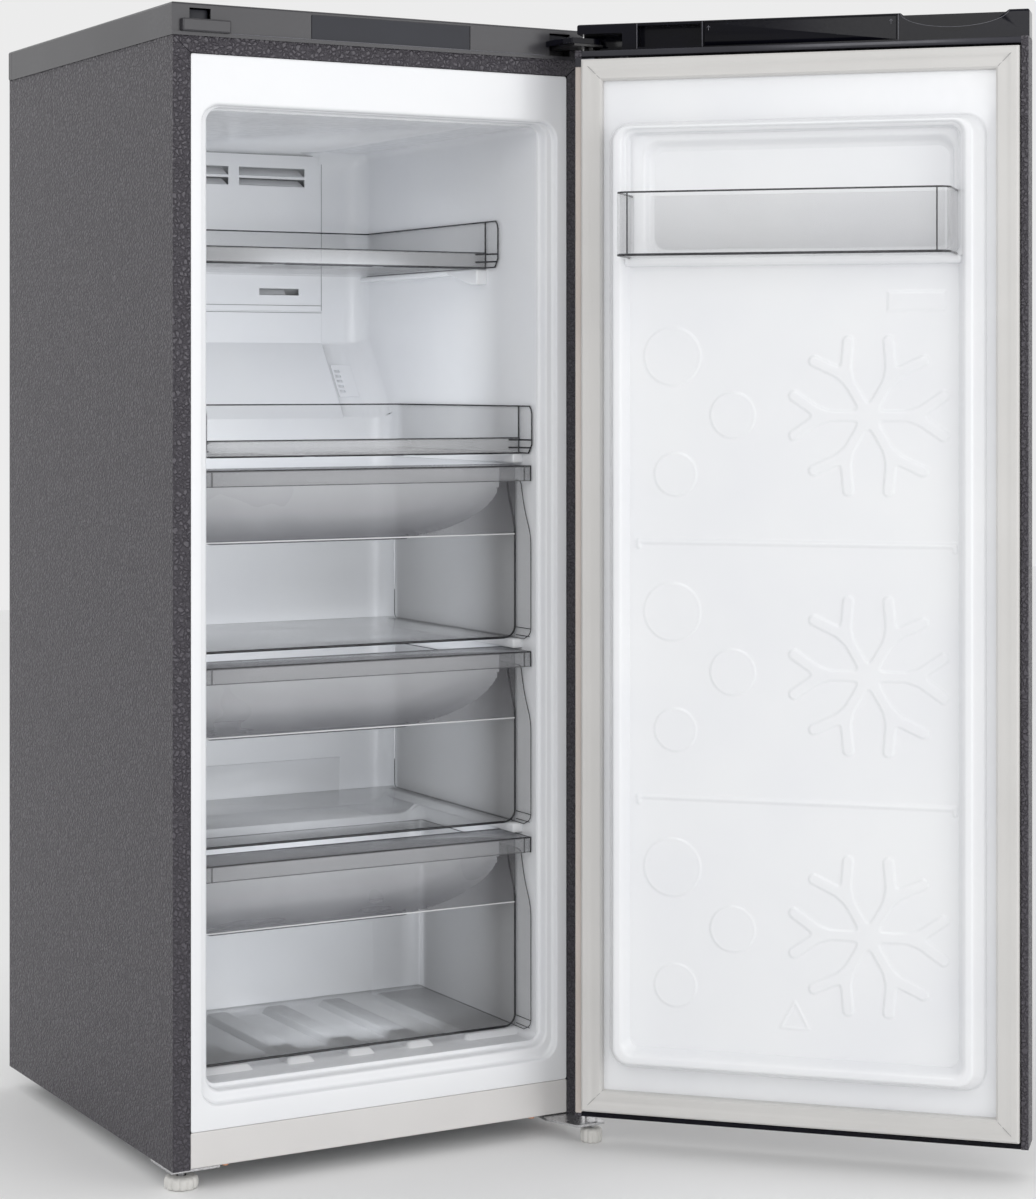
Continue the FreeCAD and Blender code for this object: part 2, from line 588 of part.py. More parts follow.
brackets = [box("left_foot_bracket", ("-" + SIDE, "62 - cab_width / 2"), ("4", "70"),
                ("foot_height - arm_thick", "foot_height"))]
axles = []
for hand in (-1, 1):
    side = "right" if hand > 0 else "left"
    middle = "%d * roller_x" % hand
    hub = ("roller_y", "roller_radius")
    wheel = rod(side + "_wheel", "x", hub, "roller_radius", middle + " - roller_wide / 2",
                middle + " + roller_wide / 2")
    bore = rod(side + "_bore", "x", hub, "axle_radius + bush_clear", middle + " - roller_wide",
               middle + " + roller_wide")
    finish(side + "_roller", cut(side + "_roller", wheel, bore))
    axles.append(rod(side + "_axle", "x", hub, "axle_radius", middle + " - roller_wide / 2 - 5",
                     middle + " + roller_wide / 2 + 5"))
    for edge in (-1, 1):
        near = middle + " + %d * (roller_wide / 2 + 2.5)" % edge
        cheek = box(side + "_cheek", (near + " - 1.5", near + " + 1.5"), ("roller_y - 12", "roller_y + 12"),
                    ("roller_radius - 8", "36"))
        brackets.append(cut(side + "_bracket", cheek, rod(
            side + "_eye", "x", hub, "axle_radius", near + " - 3", near + " + 3")))
finish("base_brackets", group("base_brackets", *brackets))
finish("roller_axles", group("roller_axles", *axles))


# ---- behind the back covers ----

COVER_HALF = "(recess_half + 6)"
duct_blank = body("duct_cover", "XZ", "back_upper - 2.5", "back_upper",
                  rectangle(("-" + COVER_HALF, COVER_HALF), ("duct_foot", "recess_high + 5")))
for high, low in (("recess_high - 14.6", "recess_high - 26"), ("recess_high - 30", "recess_high - 40")):
    for ends in (("-137", "-36"), ("-20", "20"), ("36", "137")):
        extrude(duct_blank, "Pocket", "XZ", "back_upper - 3", "back_upper + 1", rectangle(ends, (low, high)))
for ends in (("-128", "-67"), ("67", "128")):
    extrude(duct_blank, "Pocket", "XZ", "back_upper - 3", "back_upper + 1",
            rectangle(ends, ("duct_foot + 22.5", "duct_foot + 31.5")))
finish("duct_cover", duct_blank)
finish("evaporator_cover", body("evaporator_cover", "YZ", "-" + COVER_HALF, COVER_HALF, [
    ("back_upper - 2.5", "duct_foot"), ("back_upper - 2.5", "slope_high"),
    ("back_lower - 2.5", "slope_low"), ("back_lower - 2.5", "recess_low - 8"),
    ("back_lower", "recess_low - 8"), ("back_lower", "slope_low"), ("back_upper", "slope_high"),
    ("back_upper", "duct_foot")]))
SLOPE_RUN = "(back_upper - back_lower) / (slope_high - slope_low)"


def slope_at(height, out):
    """Depth of the sloped wall at a height, less out."""
    return "back_lower + (%s - slope_low) * %s - %s" % (height, SLOPE_RUN, out)


GRILLE_LOW = "(slope_low + 30)"
GRILLE_HIGH = "(slope_low + 75)"
grille = body("sensor_grille", "YZ", "recess_half + 9", "recess_half + 40", [
    (slope_at(GRILLE_LOW, "3"), GRILLE_LOW), (slope_at(GRILLE_HIGH, "3"), GRILLE_HIGH),
    (slope_at(GRILLE_HIGH, "0"), GRILLE_HIGH), (slope_at(GRILLE_LOW, "0"), GRILLE_LOW)])
for count in range(5):
    high = "slope_low + 36 + %d * 7" % count
    extrude(grille, "Pocket", "XZ", "back_lower - 10", "back_upper",
            rectangle(("recess_half + 12", "recess_half + 20"), (high, high + " + 3.5")))
finish("sensor_grille", grille)

COIL_LOW = "(recess_low + 60)"
fins = fuse("fin_blanks", *(box("fin", ("%d * 10 - 0.3" % count, "%d * 10 + 0.3" % count),
                                ("recess_back - 72", "recess_back - 4"),
                                (COIL_LOW + " - 15", COIL_LOW + " + 315"))
                            for count in range(-12, 13)))
tube_corners = []
fin_ends = []
for row in range(6):
    height = COIL_LOW + " + %d" % (row * 60)
    ends = ("-138", "138") if row % 2 else ("138", "-138")
    tube_corners += [(end, "recess_back - 38", height) for end in ends]
for hand in (-1, 1):
    fins_end = "%d * 125" % hand
    fin_ends.append(box("coil_end", (fins_end + " - 0.5", fins_end + " + 0.5"),
                        ("recess_back - 72", "recess_back"), (COIL_LOW + " - 38", COIL_LOW + " + 315")))
fin_holes = [rod("fin_hole", "x", ("recess_back - 38", COIL_LOW + " + %d" % (row * 60)),
                 "tube_radius + 0.05", "-150", "150") for row in range(6)]
HEATER_Z = "(%s - 28)" % COIL_LOW
fin_holes += [rod("heater_hole", "x", (along, HEATER_Z), "tube_radius + 0.05", "-150", "150")
              for along in ("recess_back - 25", "recess_back - 60")]
finish("evaporator_fins", cut("evaporator_fins", group("fin_stack", fins, *fin_ends), *fin_holes))
finish("evaporator_tube", bent_tube("evaporator_tube", tube_corners, "tube_radius", 12))
finish("defrost_heater", bent_tube("defrost_heater", [
    ("-145", "recess_back - 25", HEATER_Z), ("145", "recess_back - 25", HEATER_Z),
    ("145", "recess_back - 60", HEATER_Z), ("-145", "recess_back - 60", HEATER_Z)],
    "tube_radius", 12))

FAN_HUB = ("0", "fan_height")
FAN_FACE = "(recess_back - 46)"
shroud = body("shroud_plate", "XZ", FAN_FACE, FAN_FACE + " + 3",
              rectangle(("-70", "70"), ("fan_height - 55", "fan_height + 48")))
extrude(shroud, "Pocket", "XZ", FAN_FACE + " - 1", FAN_FACE + " + 4", disc=(FAN_HUB, "fan_radius + 3"))
spokes = [box("shroud_spoke", ("-(fan_radius + 5)", "fan_radius + 5"), (FAN_FACE, FAN_FACE + " + 3"),
              ("fan_height - 3", "fan_height + 3")),
          *(box("shroud_leg", ("%d * 68 - 2" % left, "%d * 68 + 2" % left), (FAN_FACE, "recess_back"),
                ("fan_height - 3 + %d * 40" % high, "fan_height + 3 + %d * 40" % high))
            for left in (-1, 1) for high in (-1, 1)),
          box("shroud_post", ("-3", "3"), (FAN_FACE, FAN_FACE + " + 3"),
              ("fan_height - fan_radius - 5", "fan_height + fan_radius + 5"))]
finish("fan_shroud", fuse("fan_shroud", shroud, *spokes))
finish("fan_motor", fuse("fan_motor",
                         rod("motor_can", "y", FAN_HUB, "19", "recess_back - 17", "recess_back - 0.5"),
                         box("motor_strap", ("-60", "60"), ("recess_back - 3", "recess_back - 0.5"),
                             ("fan_height - 8", "fan_height + 8")),
                         rod("motor_shaft", "y", FAN_HUB, "2", "recess_back - 38", "recess_back - 16")))
blades = []
BLADE_WIDE = 18
for count in range(5):
    blade = doc.addObject("Part::Box", "blade_%d" % (count + 1))
    bind(blade, "Length", "fan_radius - 10")
    blade.Width = 1.5
    blade.Height = BLADE_WIDE
    pitch = FreeCAD.Rotation(X, 50)
    spin = FreeCAD.Rotation(Y, 72 * count)
    blade.Placement.Rotation = spin * pitch
    root = FreeCAD.Vector(10, 0, 0) - pitch.multVec(FreeCAD.Vector(0, 0.75, BLADE_WIDE / 2))
    reach = spin.multVec(root)
    for letter, text in (("x", "0"), ("y", "recess_back - 29"), ("z", "fan_height")):
        bind(blade, "Placement.Base." + letter, "%s + %.4f" % (text, getattr(reach, letter)))
    blades.append(blade)
fan_hub = cut("fan_hub", rod("hub_blank", "y", FAN_HUB, "13", "recess_back - 38", "recess_back - 20"),
              rod("fan_bore", "y", FAN_HUB, "2 + bush_clear", "recess_back - 45", "recess_back - 10"))
finish("fan_blade", fuse("fan_blade", fan_hub, *blades))


# ---- compressor space ----

TRAY_HIGH = "(foot_height + 215)"
DRAIN_Y = "recess_back - 40"
drain_bore = rod("drain_bore", "z", ("0", DRAIN_Y), "drain_radius - 1.5", TRAY_HIGH, "recess_low + 20")
finish("drain_tube", cut("drain_tube", rod("drain_wall", "z", ("0", DRAIN_Y), "drain_radius",
                                           TRAY_HIGH + " + 12", "recess_low"), drain_bore))
tray_block = box("tray_block", ("-75", "75"), ("pump_y - 62", "pump_y + 62"),
                 (TRAY_HIGH + " - 14", TRAY_HIGH + " + 14"))
tray_hollow = box("tray_hollow", ("-73", "73"), ("pump_y - 60", "pump_y + 60"),
                  (TRAY_HIGH + " - 12", TRAY_HIGH + " + 20"))
finish("drip_tray", cut("drip_tray", tray_block, tray_hollow))
PLATE_TOP = "(foot_height + 12)"
finish("compressor_plate", box("compressor_plate", ("easing - " + INSIDE, INSIDE + " - easing"),
                               (PUMP_WALL + " + 2", "cab_depth - 2"), (PLATE_TOP + " - 2", PLATE_TOP)))
mounts = [rod("rubber_mount", "z", ("pump_x + %d * 75" % left, "pump_y + %d * 45" % near), "10",
              PLATE_TOP, PLATE_TOP + " + 14") for left in (-1, 1) for near in (-1, 1)]
finish("compressor_mounts", group("compressor_mounts", *mounts))
pump = body("compressor", "XY", PLATE_TOP + " + 17", TRAY_HIGH + " - 14",
            disc=(("pump_x", "pump_y"), "pump_radius"))
round_edges(pump, "30", lambda edge: edge.BoundBox.ZMin > value(TRAY_HIGH) - 15)
extrude(pump, "Pad", "XY", PLATE_TOP + " + 14", PLATE_TOP + " + 18",
        rectangle(("pump_x - 88", "pump_x + 88"), ("pump_y - 56", "pump_y + 56")))
finish("compressor", pump)
finish("filter_drier", rod("filter_drier", "z", ("-130", "pump_y + 30"), "11", PLATE_TOP + " + 60",
                           PLATE_TOP + " + 180"))
finish("refrigerant_pipes", group(
    "refrigerant_pipes",
    bent_tube("delivery_pipe", [("pump_x - pump_radius", "pump_y", PLATE_TOP + " + 60"),
                                ("pump_x - 150", "pump_y", PLATE_TOP + " + 60"),
                                ("pump_x - 150", "pump_y + 30", PLATE_TOP + " + 60"),
                                ("-130", "pump_y + 30", PLATE_TOP + " + 30"),
                                ("-130", "pump_y + 30", PLATE_TOP + " + 60")], "3", 6),
    bent_tube("suction_pipe", [("pump_x + pump_radius", "pump_y", PLATE_TOP + " + 60"),
                               ("pump_x + 130", "pump_y", PLATE_TOP + " + 60"),
                               ("pump_x + 130", "pump_y", PUMP_CEILING + " - steel")], "4", 20)))
GLAND = ("gland_x", "gland_height")
rear = body("machine_cover", "XZ", "cab_depth - steel", "cab_depth",
            rectangle(("18 - cab_width / 2", "cab_width / 2 - 18"), ("foot_height + 14", PUMP_CEILING)))
for row in range(8):
    for left in (-1, 1):
        low = "foot_height + 130 + %d * 20" % row
        ends = ("30", "180") if left > 0 else ("-180", "-30")
        extrude(rear, "Pocket", "XZ", "cab_depth - steel", "cab_depth", rectangle(ends, (low, low + " + 8")))
extrude(rear, "Pocket", "XZ", "cab_depth - steel", "cab_depth", disc=(GLAND, "9"))
finish("machine_cover", rear)
gland = fuse("gland_blank", rod("gland_barrel", "y", GLAND, "9", "cab_depth - 10", "cab_depth + 5"),
             rod("gland_collar", "y", GLAND, "12", "cab_depth", "cab_depth + 3"))
finish("cord_gland", cut("cord_gland", gland, rod("gland_bore", "y", GLAND, "4.5", "cab_depth - 15",
                                                  "cab_depth + 15")))


# ---- trays and drawers ----

def tray(name, front, back, low):
    """A shallow tray with forward ears at its sides and a low front lip."""
    top = low + " + tray_wall"
    lip = "(%s + tray_ear)" % front
    sides = body(name + "_sides", "YZ", "-bin_half", "bin_half", [
        (front + " + 8", low), (back, low), (back, top), (lip, top), (front + " + 6", top, "-0.41"),
        (front, top + " - 10"), (front, low + " + 12")])
    inside = box(name + "_inside", ("plastic - bin_half", "bin_half - plastic"),
                 (lip + " + plastic", back + " - plastic"), (low + " + plastic", top + " + 1"))
    before = box(name + "_before", ("plastic - bin_half", "bin_half - plastic"),
                 (front + " - 1", lip), (low + " - 1", top + " + 1"))
    above = box(name + "_above", ("plastic - bin_half", "bin_half - plastic"),
                (lip + " - 1", lip + " + plastic + 1"), (low + " + tray_lip", top + " + 1"))
    slots = [box(name + "_slot", ("%d * 130 - 50" % column, "%d * 130 + 50" % column),
                 (lip + " + 20 + %d * 40" % row, lip + " + 26 + %d * 40" % row),
                 (low + " - 1", low + " + plastic + 1"))
             for row in range(4) for column in (-1, 0, 1)]
    finish(name, cut(name, sides, inside, before, above, *slots))


tray("upper_tray", "upper_tray_front", "upper_tray_back", "upper_tray_low")
tray("lower_tray", "lower_tray_front", "lower_tray_back", "lower_tray_low")


def drawer(number, floor, back):
    """A tub with forward fins at its sides, and a front with a hollow under its grip bar."""
    name = "drawer_%d" % number
    bar = "(first_bar - %d * drawer_pitch)" % (number - 1)
    rim = "(%s - bar_height)" % bar
    shoulder = "(%s - bar_height - scoop_height)" % bar
    sides = body(name + "_sides", "YZ", "-bin_half", "bin_half", [
        ("plate_front - 20", floor), (back, floor), (back, rim), ("plate_front - 14", rim),
        ("plate_front - 20", shoulder), ("bar_front", floor + " + 30")])
    inside = box(name + "_inside", ("plastic - bin_half", "bin_half - plastic"),
                 ("plate_front", back + " - plastic"), (floor + " + plastic", bar))
    before = box(name + "_before", ("plastic - bin_half", "bin_half - plastic"),
                 ("bar_front - 1", "plate_front"), (floor + " - 1", bar))
    finish(name + "_tub", cut(name + "_tub", sides, inside, before))
    deep = "plate_front + scoop_depth"
    finish(name + "_front", body(name + "_front", "YZ", "plastic - bin_half", "bin_half - plastic", [
        ("plate_front", floor + " + plastic"), ("plate_front + plastic", floor + " + plastic"),
        ("plate_front + plastic", shoulder), (deep + " + plastic", rim + " - 5"),
        (deep + " + plastic", bar), ("bar_front", bar), ("bar_front", rim),
        ("bar_front + plastic", rim), ("bar_front + plastic", bar + " - plastic"),
        (deep, bar + " - plastic"), (deep, rim + " - 5"), ("plate_front", shoulder)]))


for number in (1, 2):
    drawer(number, "(first_bar - drawer_tall - %d * drawer_pitch)" % (number - 1), "drawer_back")
drawer(3, "last_floor", "last_back")


# ---- door, drawn shut about the hinge axis: x towards the hinge side, y towards the cabinet ----

FREE = "(hinge_inset - cab_width)"
DOOR_SKIN = "(steel - door_face)"


def door_mass(name, inset, edge):
    """Everything behind the door liner's face, less inset: the liner's front or the foam's."""
    rim = "(door_rim - %s)" % inset
    slab = box(name + "_slab", (FREE + " + " + edge, "hinge_inset - " + edge), (DOOR_SKIN, rim),
               ("door_low + 6", "door_high"))
    half = "(dike_half - %s)" % inset
    foot = body(name + "_dike", "XZ", "door_rim - 5", "dike_top - " + inset, rectangle(
        ("dike_middle - " + half, "dike_middle + " + half),
        ("dike_low + " + inset, "dike_high - " + inset)), taper="-(dike_slope - 5)")
    inner = "(dike_half - dike_width + %s)" % inset
    panel = box(name + "_panel", ("dike_middle - " + inner, "dike_middle + " + inner),
                ("panel_plane - " + inset, "dike_top + 10"),
                ("dike_low + dike_width + 7 - " + inset, "niche_low - 4 + " + inset))
    half = "(niche_half + %s)" % inset
    niche = box(name + "_niche", ("dike_middle - " + half, "dike_middle + " + half),
                ("niche_plane - " + inset, "dike_top + 10"),
                ("niche_low - " + inset, "niche_high + " + inset))
    return cut(name, fuse(name + "_solid", slab, foot), panel, niche)


liner_mass = door_mass("liner_mass", "0", "(gasket_inset - 1)")
foam_mass = door_mass("foam_mass", "skin", "steel")
top_seat = rod("top_seat", "z", ("0", "0"), "bush_radius", "door_high - 20", "door_high + 1")
bottom_seat = rod("bottom_seat", "z", ("0", "0"), "bush_radius", "door_low - 1", "door_low + 22")
finish("door_liner", cut("door_liner", liner_mass, foam_mass), True)
finish("door_foam", cut("door_foam", foam_mass, top_seat, bottom_seat), True)

finish("door_outer_panel", body("door_outer_panel", "XY", "door_low", "door_high", [
    (FREE, "-door_face"), ("hinge_inset", "-door_face"), ("hinge_inset", "door_rim"),
    ("hinge_inset - gasket_inset + 1", "door_rim"), ("hinge_inset - gasket_inset + 1", "door_rim - steel"),
    ("hinge_inset - steel", "door_rim - steel"), ("hinge_inset - steel", DOOR_SKIN),
    (FREE + " + steel", DOOR_SKIN), (FREE + " + steel", "door_rim - steel"),
    (FREE + " + gasket_inset - 1", "door_rim - steel"), (FREE + " + gasket_inset - 1", "door_rim"),
    (FREE, "door_rim")]), True)
cap = box("cap_block", (FREE + " + steel", "hinge_inset - steel"), (DOOR_SKIN, "door_rim - steel"),
          ("door_low", "door_low + 6"))
finish("door_bottom_cap", cut("door_bottom_cap", cap, bottom_seat), True)
bushes = []
for end, low, high, blind in (("top", "door_high - 20", "door_high", "door_high - 18.5"),
                              ("bottom", "door_low", "door_low + 22", "door_low + 19")):
    barrel = rod(end + "_barrel", "z", ("0", "0"), "bush_radius", low, high)
    hole = (blind, high + " + 1") if end == "top" else (low + " - 1", blind)
    bushes.append(cut(end + "_bush", barrel, rod(end + "_bush_bore", "z", ("0", "0"),
                                                 "pin_radius + bush_clear", *hole)))
finish("hinge_bushes", group("hinge_bushes", *bushes), True)

GASKET_X = (FREE + " + gasket_inset", "hinge_inset - gasket_inset")
GASKET_Z = ("gasket_low", "gasket_high")


def ring(name, inset, width, low, high):
    """A frame of rectangular section that follows the gasket."""
    x = ["%s + %s" % (GASKET_X[0], inset), "%s - (%s)" % (GASKET_X[1], inset)]
    z = ["%s + %s" % (GASKET_Z[0], inset), "%s - (%s)" % (GASKET_Z[1], inset)]
    outer = body(name, "XZ", low, high, rectangle(x, z))
    extrude(outer, "Pocket", "XZ", low, high, rectangle(
        (x[0] + " + " + width, x[1] + " - " + width), (z[0] + " + " + width, z[1] + " - " + width)))
    return outer


chamber = ring("gasket_chamber", "10", "8", "gasket_face - 5", "gasket_face - 1.5")
finish("magnet_strips", ring("magnet_strips", "10.2", "7.6", "gasket_face - 4.7", "gasket_face - 1.7"), True)
finish("door_gasket", cut("door_gasket", ring("gasket_body", "0", "gasket_wide", "door_rim",
                                             "gasket_face"), chamber), True)

head_block = body("head_block", "XY", "door_high", "head_high",
                  rectangle((FREE, "hinge_inset"), ("-door_face", "head_inner")))
round_edges(head_block, "3", lambda edge: edge.BoundBox.ZMin > value("head_high") - 1
            or (runs_along(edge, Z) and edge.BoundBox.YMax < 0))
notch = box("hinge_notch", ("-notch_wide", "hinge_inset + 1"), ("-door_face - 1", "head_inner + 1"),
            ("door_high", "door_high + notch_height"))
board_space = box("board_space", ("-388", "-149"), ("-door_face + 6", "head_inner + 1"),
                  ("door_high + 2", "head_high - 3"))
side_pocket = box("side_pocket", ("-145", "-64"), ("0", "head_inner + 1"), ("door_high + 3", "head_high - 4"))
SCOOP_RADIUS = "101.4"
grip = rod("grip_scoop", "y", ("-457.5", "door_high + 10 + " + SCOOP_RADIUS), SCOOP_RADIUS,
           "-4", "head_inner + 1")
finish("door_head", cut("door_head", head_block, notch, board_space, side_pocket, grip), True)
finish("head_cover", group("head_cover", box(
    "cover_plate", ("-387.7", "-149.3"), ("head_inner - 2.5", "head_inner"),
    ("door_high + 2.3", "head_high - 3.3"))), True)
finish("control_board", group("control_board", box(
    "board", ("-375", "-160"), ("2", "3.6"), ("door_high + 2", "head_high - 6"))), True)

rack_block = body("rack_block", "XZ", "niche_plane + easing", "rack_front", rectangle(
    ("dike_middle - rack_half", "dike_middle + rack_half"),
    ("niche_low + easing", "niche_low + rack_height")))
round_edges(rack_block, "14", lambda edge: runs_along(edge, Z) and edge.BoundBox.YMin > 100)
RACK_IN = "(rack_half - plastic - 1)"
rack_inside = box("rack_inside", ("dike_middle - " + RACK_IN, "dike_middle + " + RACK_IN),
                  ("niche_plane + easing + plastic", "rack_front - plastic"),
                  ("niche_low + easing + plastic", "niche_low + rack_height + 1"))
finish("door_rack", cut("door_rack", rack_block, rack_inside), True)


# ---- checks and files ----

doc.recompute()
for thing in doc.Objects:
    if "Invalid" in thing.State or "Error" in thing.State:
        raise RuntimeError("%s failed: %s" % (thing.Label, thing.State))
for thing in nodes:
    if thing.Shape.isNull() or not thing.Shape.isValid():
        raise RuntimeError("%s has no valid shape" % thing.Label)
os.makedirs("parts", exist_ok=True)
for thing in nodes:
    thing.Shape.exportStep("parts/%s.step" % thing.Label)
print("%d nodes written" % len(nodes))
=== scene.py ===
"""The looks of an upright freezer that stands with its door open.

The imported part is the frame. Its plain solids are rounded and finished here, and the
moulded liners, the seal, the drawers and the front feet are modelled again in full.
Lengths are millimetres; piece() and edge_lines() turn them to metres.
"""
import json
import math

import bmesh
import bpy
import numpy as np
from mathutils import Matrix, Vector


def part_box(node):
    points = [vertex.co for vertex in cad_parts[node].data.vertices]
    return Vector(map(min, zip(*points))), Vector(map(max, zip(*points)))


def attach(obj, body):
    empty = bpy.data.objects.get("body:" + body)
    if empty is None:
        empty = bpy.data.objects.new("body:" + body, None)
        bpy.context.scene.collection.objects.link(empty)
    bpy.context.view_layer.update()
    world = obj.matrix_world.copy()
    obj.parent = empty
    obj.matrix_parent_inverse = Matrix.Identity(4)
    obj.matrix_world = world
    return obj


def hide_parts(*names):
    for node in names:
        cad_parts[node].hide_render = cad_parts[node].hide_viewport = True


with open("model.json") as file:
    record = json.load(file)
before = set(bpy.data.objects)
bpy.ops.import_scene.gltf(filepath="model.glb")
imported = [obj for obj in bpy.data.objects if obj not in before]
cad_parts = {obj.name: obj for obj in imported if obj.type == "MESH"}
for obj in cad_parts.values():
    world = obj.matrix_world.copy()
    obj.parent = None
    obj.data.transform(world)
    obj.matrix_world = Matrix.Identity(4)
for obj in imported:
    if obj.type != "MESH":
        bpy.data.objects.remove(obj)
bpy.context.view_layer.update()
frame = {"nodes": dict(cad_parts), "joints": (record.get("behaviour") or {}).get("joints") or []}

MM = 0.001


def extent(node):
    """The lowest and highest corners of a CAD node, in millimetres."""
    low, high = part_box(node)
    return np.array(low) / MM, np.array(high) / MM


# -------------------------------- the camera

CAMERA_PLACE = (-1.5137, -3.0045, 0.9578)
CAMERA_TURN = 29.5
IMAGE_HIGH = 1199
FOCAL_LENGTHS = 2741.4
HORIZON_RISE = 218.9
SENSOR = 36.0

camera_data = bpy.data.cameras.new("studio_camera")
camera_data.sensor_fit = "VERTICAL"
camera_data.sensor_height = SENSOR
camera_data.lens = SENSOR * FOCAL_LENGTHS / IMAGE_HIGH
camera_data.shift_y = -HORIZON_RISE / IMAGE_HIGH
camera = bpy.data.objects.new("studio_camera", camera_data)
camera.location = CAMERA_PLACE
camera.rotation_euler = (math.radians(90), 0, math.radians(-CAMERA_TURN))
bpy.context.scene.collection.objects.link(camera)
bpy.context.scene.camera = camera


# -------------------------------- materials, as expressions

class Field:
    """A shader socket. Arithmetic on it adds the Math nodes that work it out."""

    def __init__(self, finish, socket):
        self.finish = finish
        self.socket = socket

    def worked(self, operation, first, second):
        settings = {"operation": operation}
        return self.finish.node("Math", settings, {0: first, 1: second})

    def __add__(self, other):
        return self.worked("ADD", self, other)

    def __radd__(self, other):
        return self.worked("ADD", other, self)

    def __sub__(self, other):
        return self.worked("SUBTRACT", self, other)

    def __rsub__(self, other):
        return self.worked("SUBTRACT", other, self)

    def __mul__(self, other):
        return self.worked("MULTIPLY", self, other)

    def __rmul__(self, other):
        return self.worked("MULTIPLY", other, self)

    def __pow__(self, other):
        return self.worked("POWER", self, other)


class Finish:
    """A material: constants go straight on its shader, and feed() links what varies."""

    def __init__(self, name, colour, **constants):
        self.material = bpy.data.materials.new(name)
        self.material.use_nodes = True
        self.tree = self.material.node_tree
        self.shader = self.tree.nodes["Principled BSDF"]
        self.shader.inputs["Base Color"].default_value = (*colour, 1)
        for socket, value in constants.items():
            self.shader.inputs[socket.replace("_", " ")].default_value = value

    def node(self, kind, settings=None, sockets=None, out=0):
        """Adds a node: its settings first, then its sockets' values or links."""
        made = self.tree.nodes.new("ShaderNode" + kind)
        for key, value in (settings or {}).items():
            setattr(made, key, value)
        for key, value in (sockets or {}).items():
            if isinstance(value, Field):
                self.tree.links.new(value.socket, made.inputs[key])
            else:
                made.inputs[key].default_value = value
        return Field(self, made.outputs[out])

    def feed(self, **fields):
        for socket, field in fields.items():
            self.tree.links.new(field.socket, self.shader.inputs[socket.replace("_", " ")])

    def place(self, stretch=(1, 1, 1)):
        """Points of the surface in the part's own frame, in metres."""
        points = self.node("TexCoord", out="Object")
        return self.node("VectorMath", {"operation": "MULTIPLY"}, {0: points, 1: stretch})

    def noise(self, per_metre, detail, stretch=(1, 1, 1)):
        sockets = {"Vector": self.place(stretch), "Scale": per_metre, "Detail": detail}
        return self.node("TexNoise", sockets=sockets)

    def cells(self, per_metre):
        return self.node("TexVoronoi", sockets={"Vector": self.place(), "Scale": per_metre})

    def span(self, field, low, high, start=0.0, end=1.0):
        """field taken from low..high to start..end, and held there outside it."""
        sockets = {0: field, 1: low, 2: high, 3: start, 4: end}
        return self.node("MapRange", sockets=sockets)

    def mix(self, factor, first, second):
        sockets = {0: factor, 6: (*first, 1), 7: (*second, 1)}
        return self.node("Mix", {"data_type": "RGBA"}, sockets, out=2)

    def relief(self, height, depth, strength=1.0):
        """Bump from a height of 0..1 that is depth millimetres deep."""
        sockets = {"Height": height, "Distance": depth * MM, "Strength": strength}
        self.feed(Normal=self.node("Bump", sockets=sockets))


def embossed_steel(name):
    """Painted steel rolled with a leather grain of short, wandering wrinkle ridges, its creases
    painted darker as shade.
    """
    finish = Finish(name, (0.02, 0.018, 0.022), IOR=1.45, Specular_IOR_Level=0.5)
    wander = finish.noise(60, 2)
    swirl = finish.node("TexNoise", sockets={"Vector": finish.place(), "Scale": 110}, out=1)
    warped = finish.node("VectorMath", {"operation": "MULTIPLY_ADD"},
                         {0: swirl, 1: (0.009, 0.009, 0.009), 2: finish.place()})
    cells = finish.node("TexVoronoi", {"feature": "DISTANCE_TO_EDGE"},
                        {"Vector": warped, "Scale": 175})
    wrinkle_relief_and_shade = finish.span(cells, 0.02, 0.24)
    grain = finish.noise(500, 1)
    height = 0.85 * wrinkle_relief_and_shade + 0.15 * grain
    # The base colour is darker in the creases between the wrinkles: painted shade. The same mask
    # also drives the relief.
    finish.feed(
        Base_Color=finish.mix(wrinkle_relief_and_shade, (0.044, 0.040, 0.049), (0.072, 0.066, 0.079)),
        Roughness=finish.span(height + 0.3 * wander, 0.1, 1.2, 0.44, 0.30),
    )
    finish.relief(height, 1.5, 1.0)
    return finish.material


def moulded(name, dark, light, rough=(0.3, 0.42), grain=0.03, per_metre=900, **constants):
    """Moulded plastic: a little unevenness in its colour, its gloss and its skin."""
    finish = Finish(name, light, **constants)
    cloud = finish.noise(7, 2)
    skin = finish.noise(per_metre, 2)
    finish.feed(
        Base_Color=finish.mix(finish.span(cloud, 0.3, 0.7), dark, light),
        Roughness=finish.span(skin + 0.4 * cloud, 0.4, 1.0, *rough),
    )
    finish.relief(skin, grain, 0.35)
    return finish.material


def plated(name, dark, light, rough, spangle):
    """Bare or plated metal with a crystalline spangle and fine drawing lines."""
    finish = Finish(name, light, Metallic=1.0)
    crystals = finish.cells(spangle)
    lines = finish.noise(60, 3, (1, 1, 24))
    finish.feed(
        Base_Color=finish.mix(finish.span(crystals, 0.0, 0.9), dark, light),
        Roughness=finish.span(lines + 0.4 * crystals, 0.3, 1.1, *rough),
    )
    finish.relief(lines, 0.02, 0.3)
    return finish.material


def smoke_sheet(name, dark, light, thin, thick):
    """Clear smoke-grey plastic: it darkens where the eye looks along the sheet."""
    finish = Finish(name, light, IOR=1.49)
    facing = finish.node("LayerWeight", sockets={"Blend": 0.5}, out="Facing")
    cloud = finish.noise(11, 2)
    edge = finish.span(facing, 0.45, 0.98)
    finish.feed(
        Base_Color=finish.mix(edge, light, dark),
        Roughness=finish.span(cloud, 0.3, 0.7, 0.08, 0.16),
        Alpha=finish.span(edge ** 1.6 + 0.06 * cloud, 0.0, 1.0, thin, thick),
    )
    finish.relief(finish.noise(60, 1), 0.02, 0.2)
    return finish.material


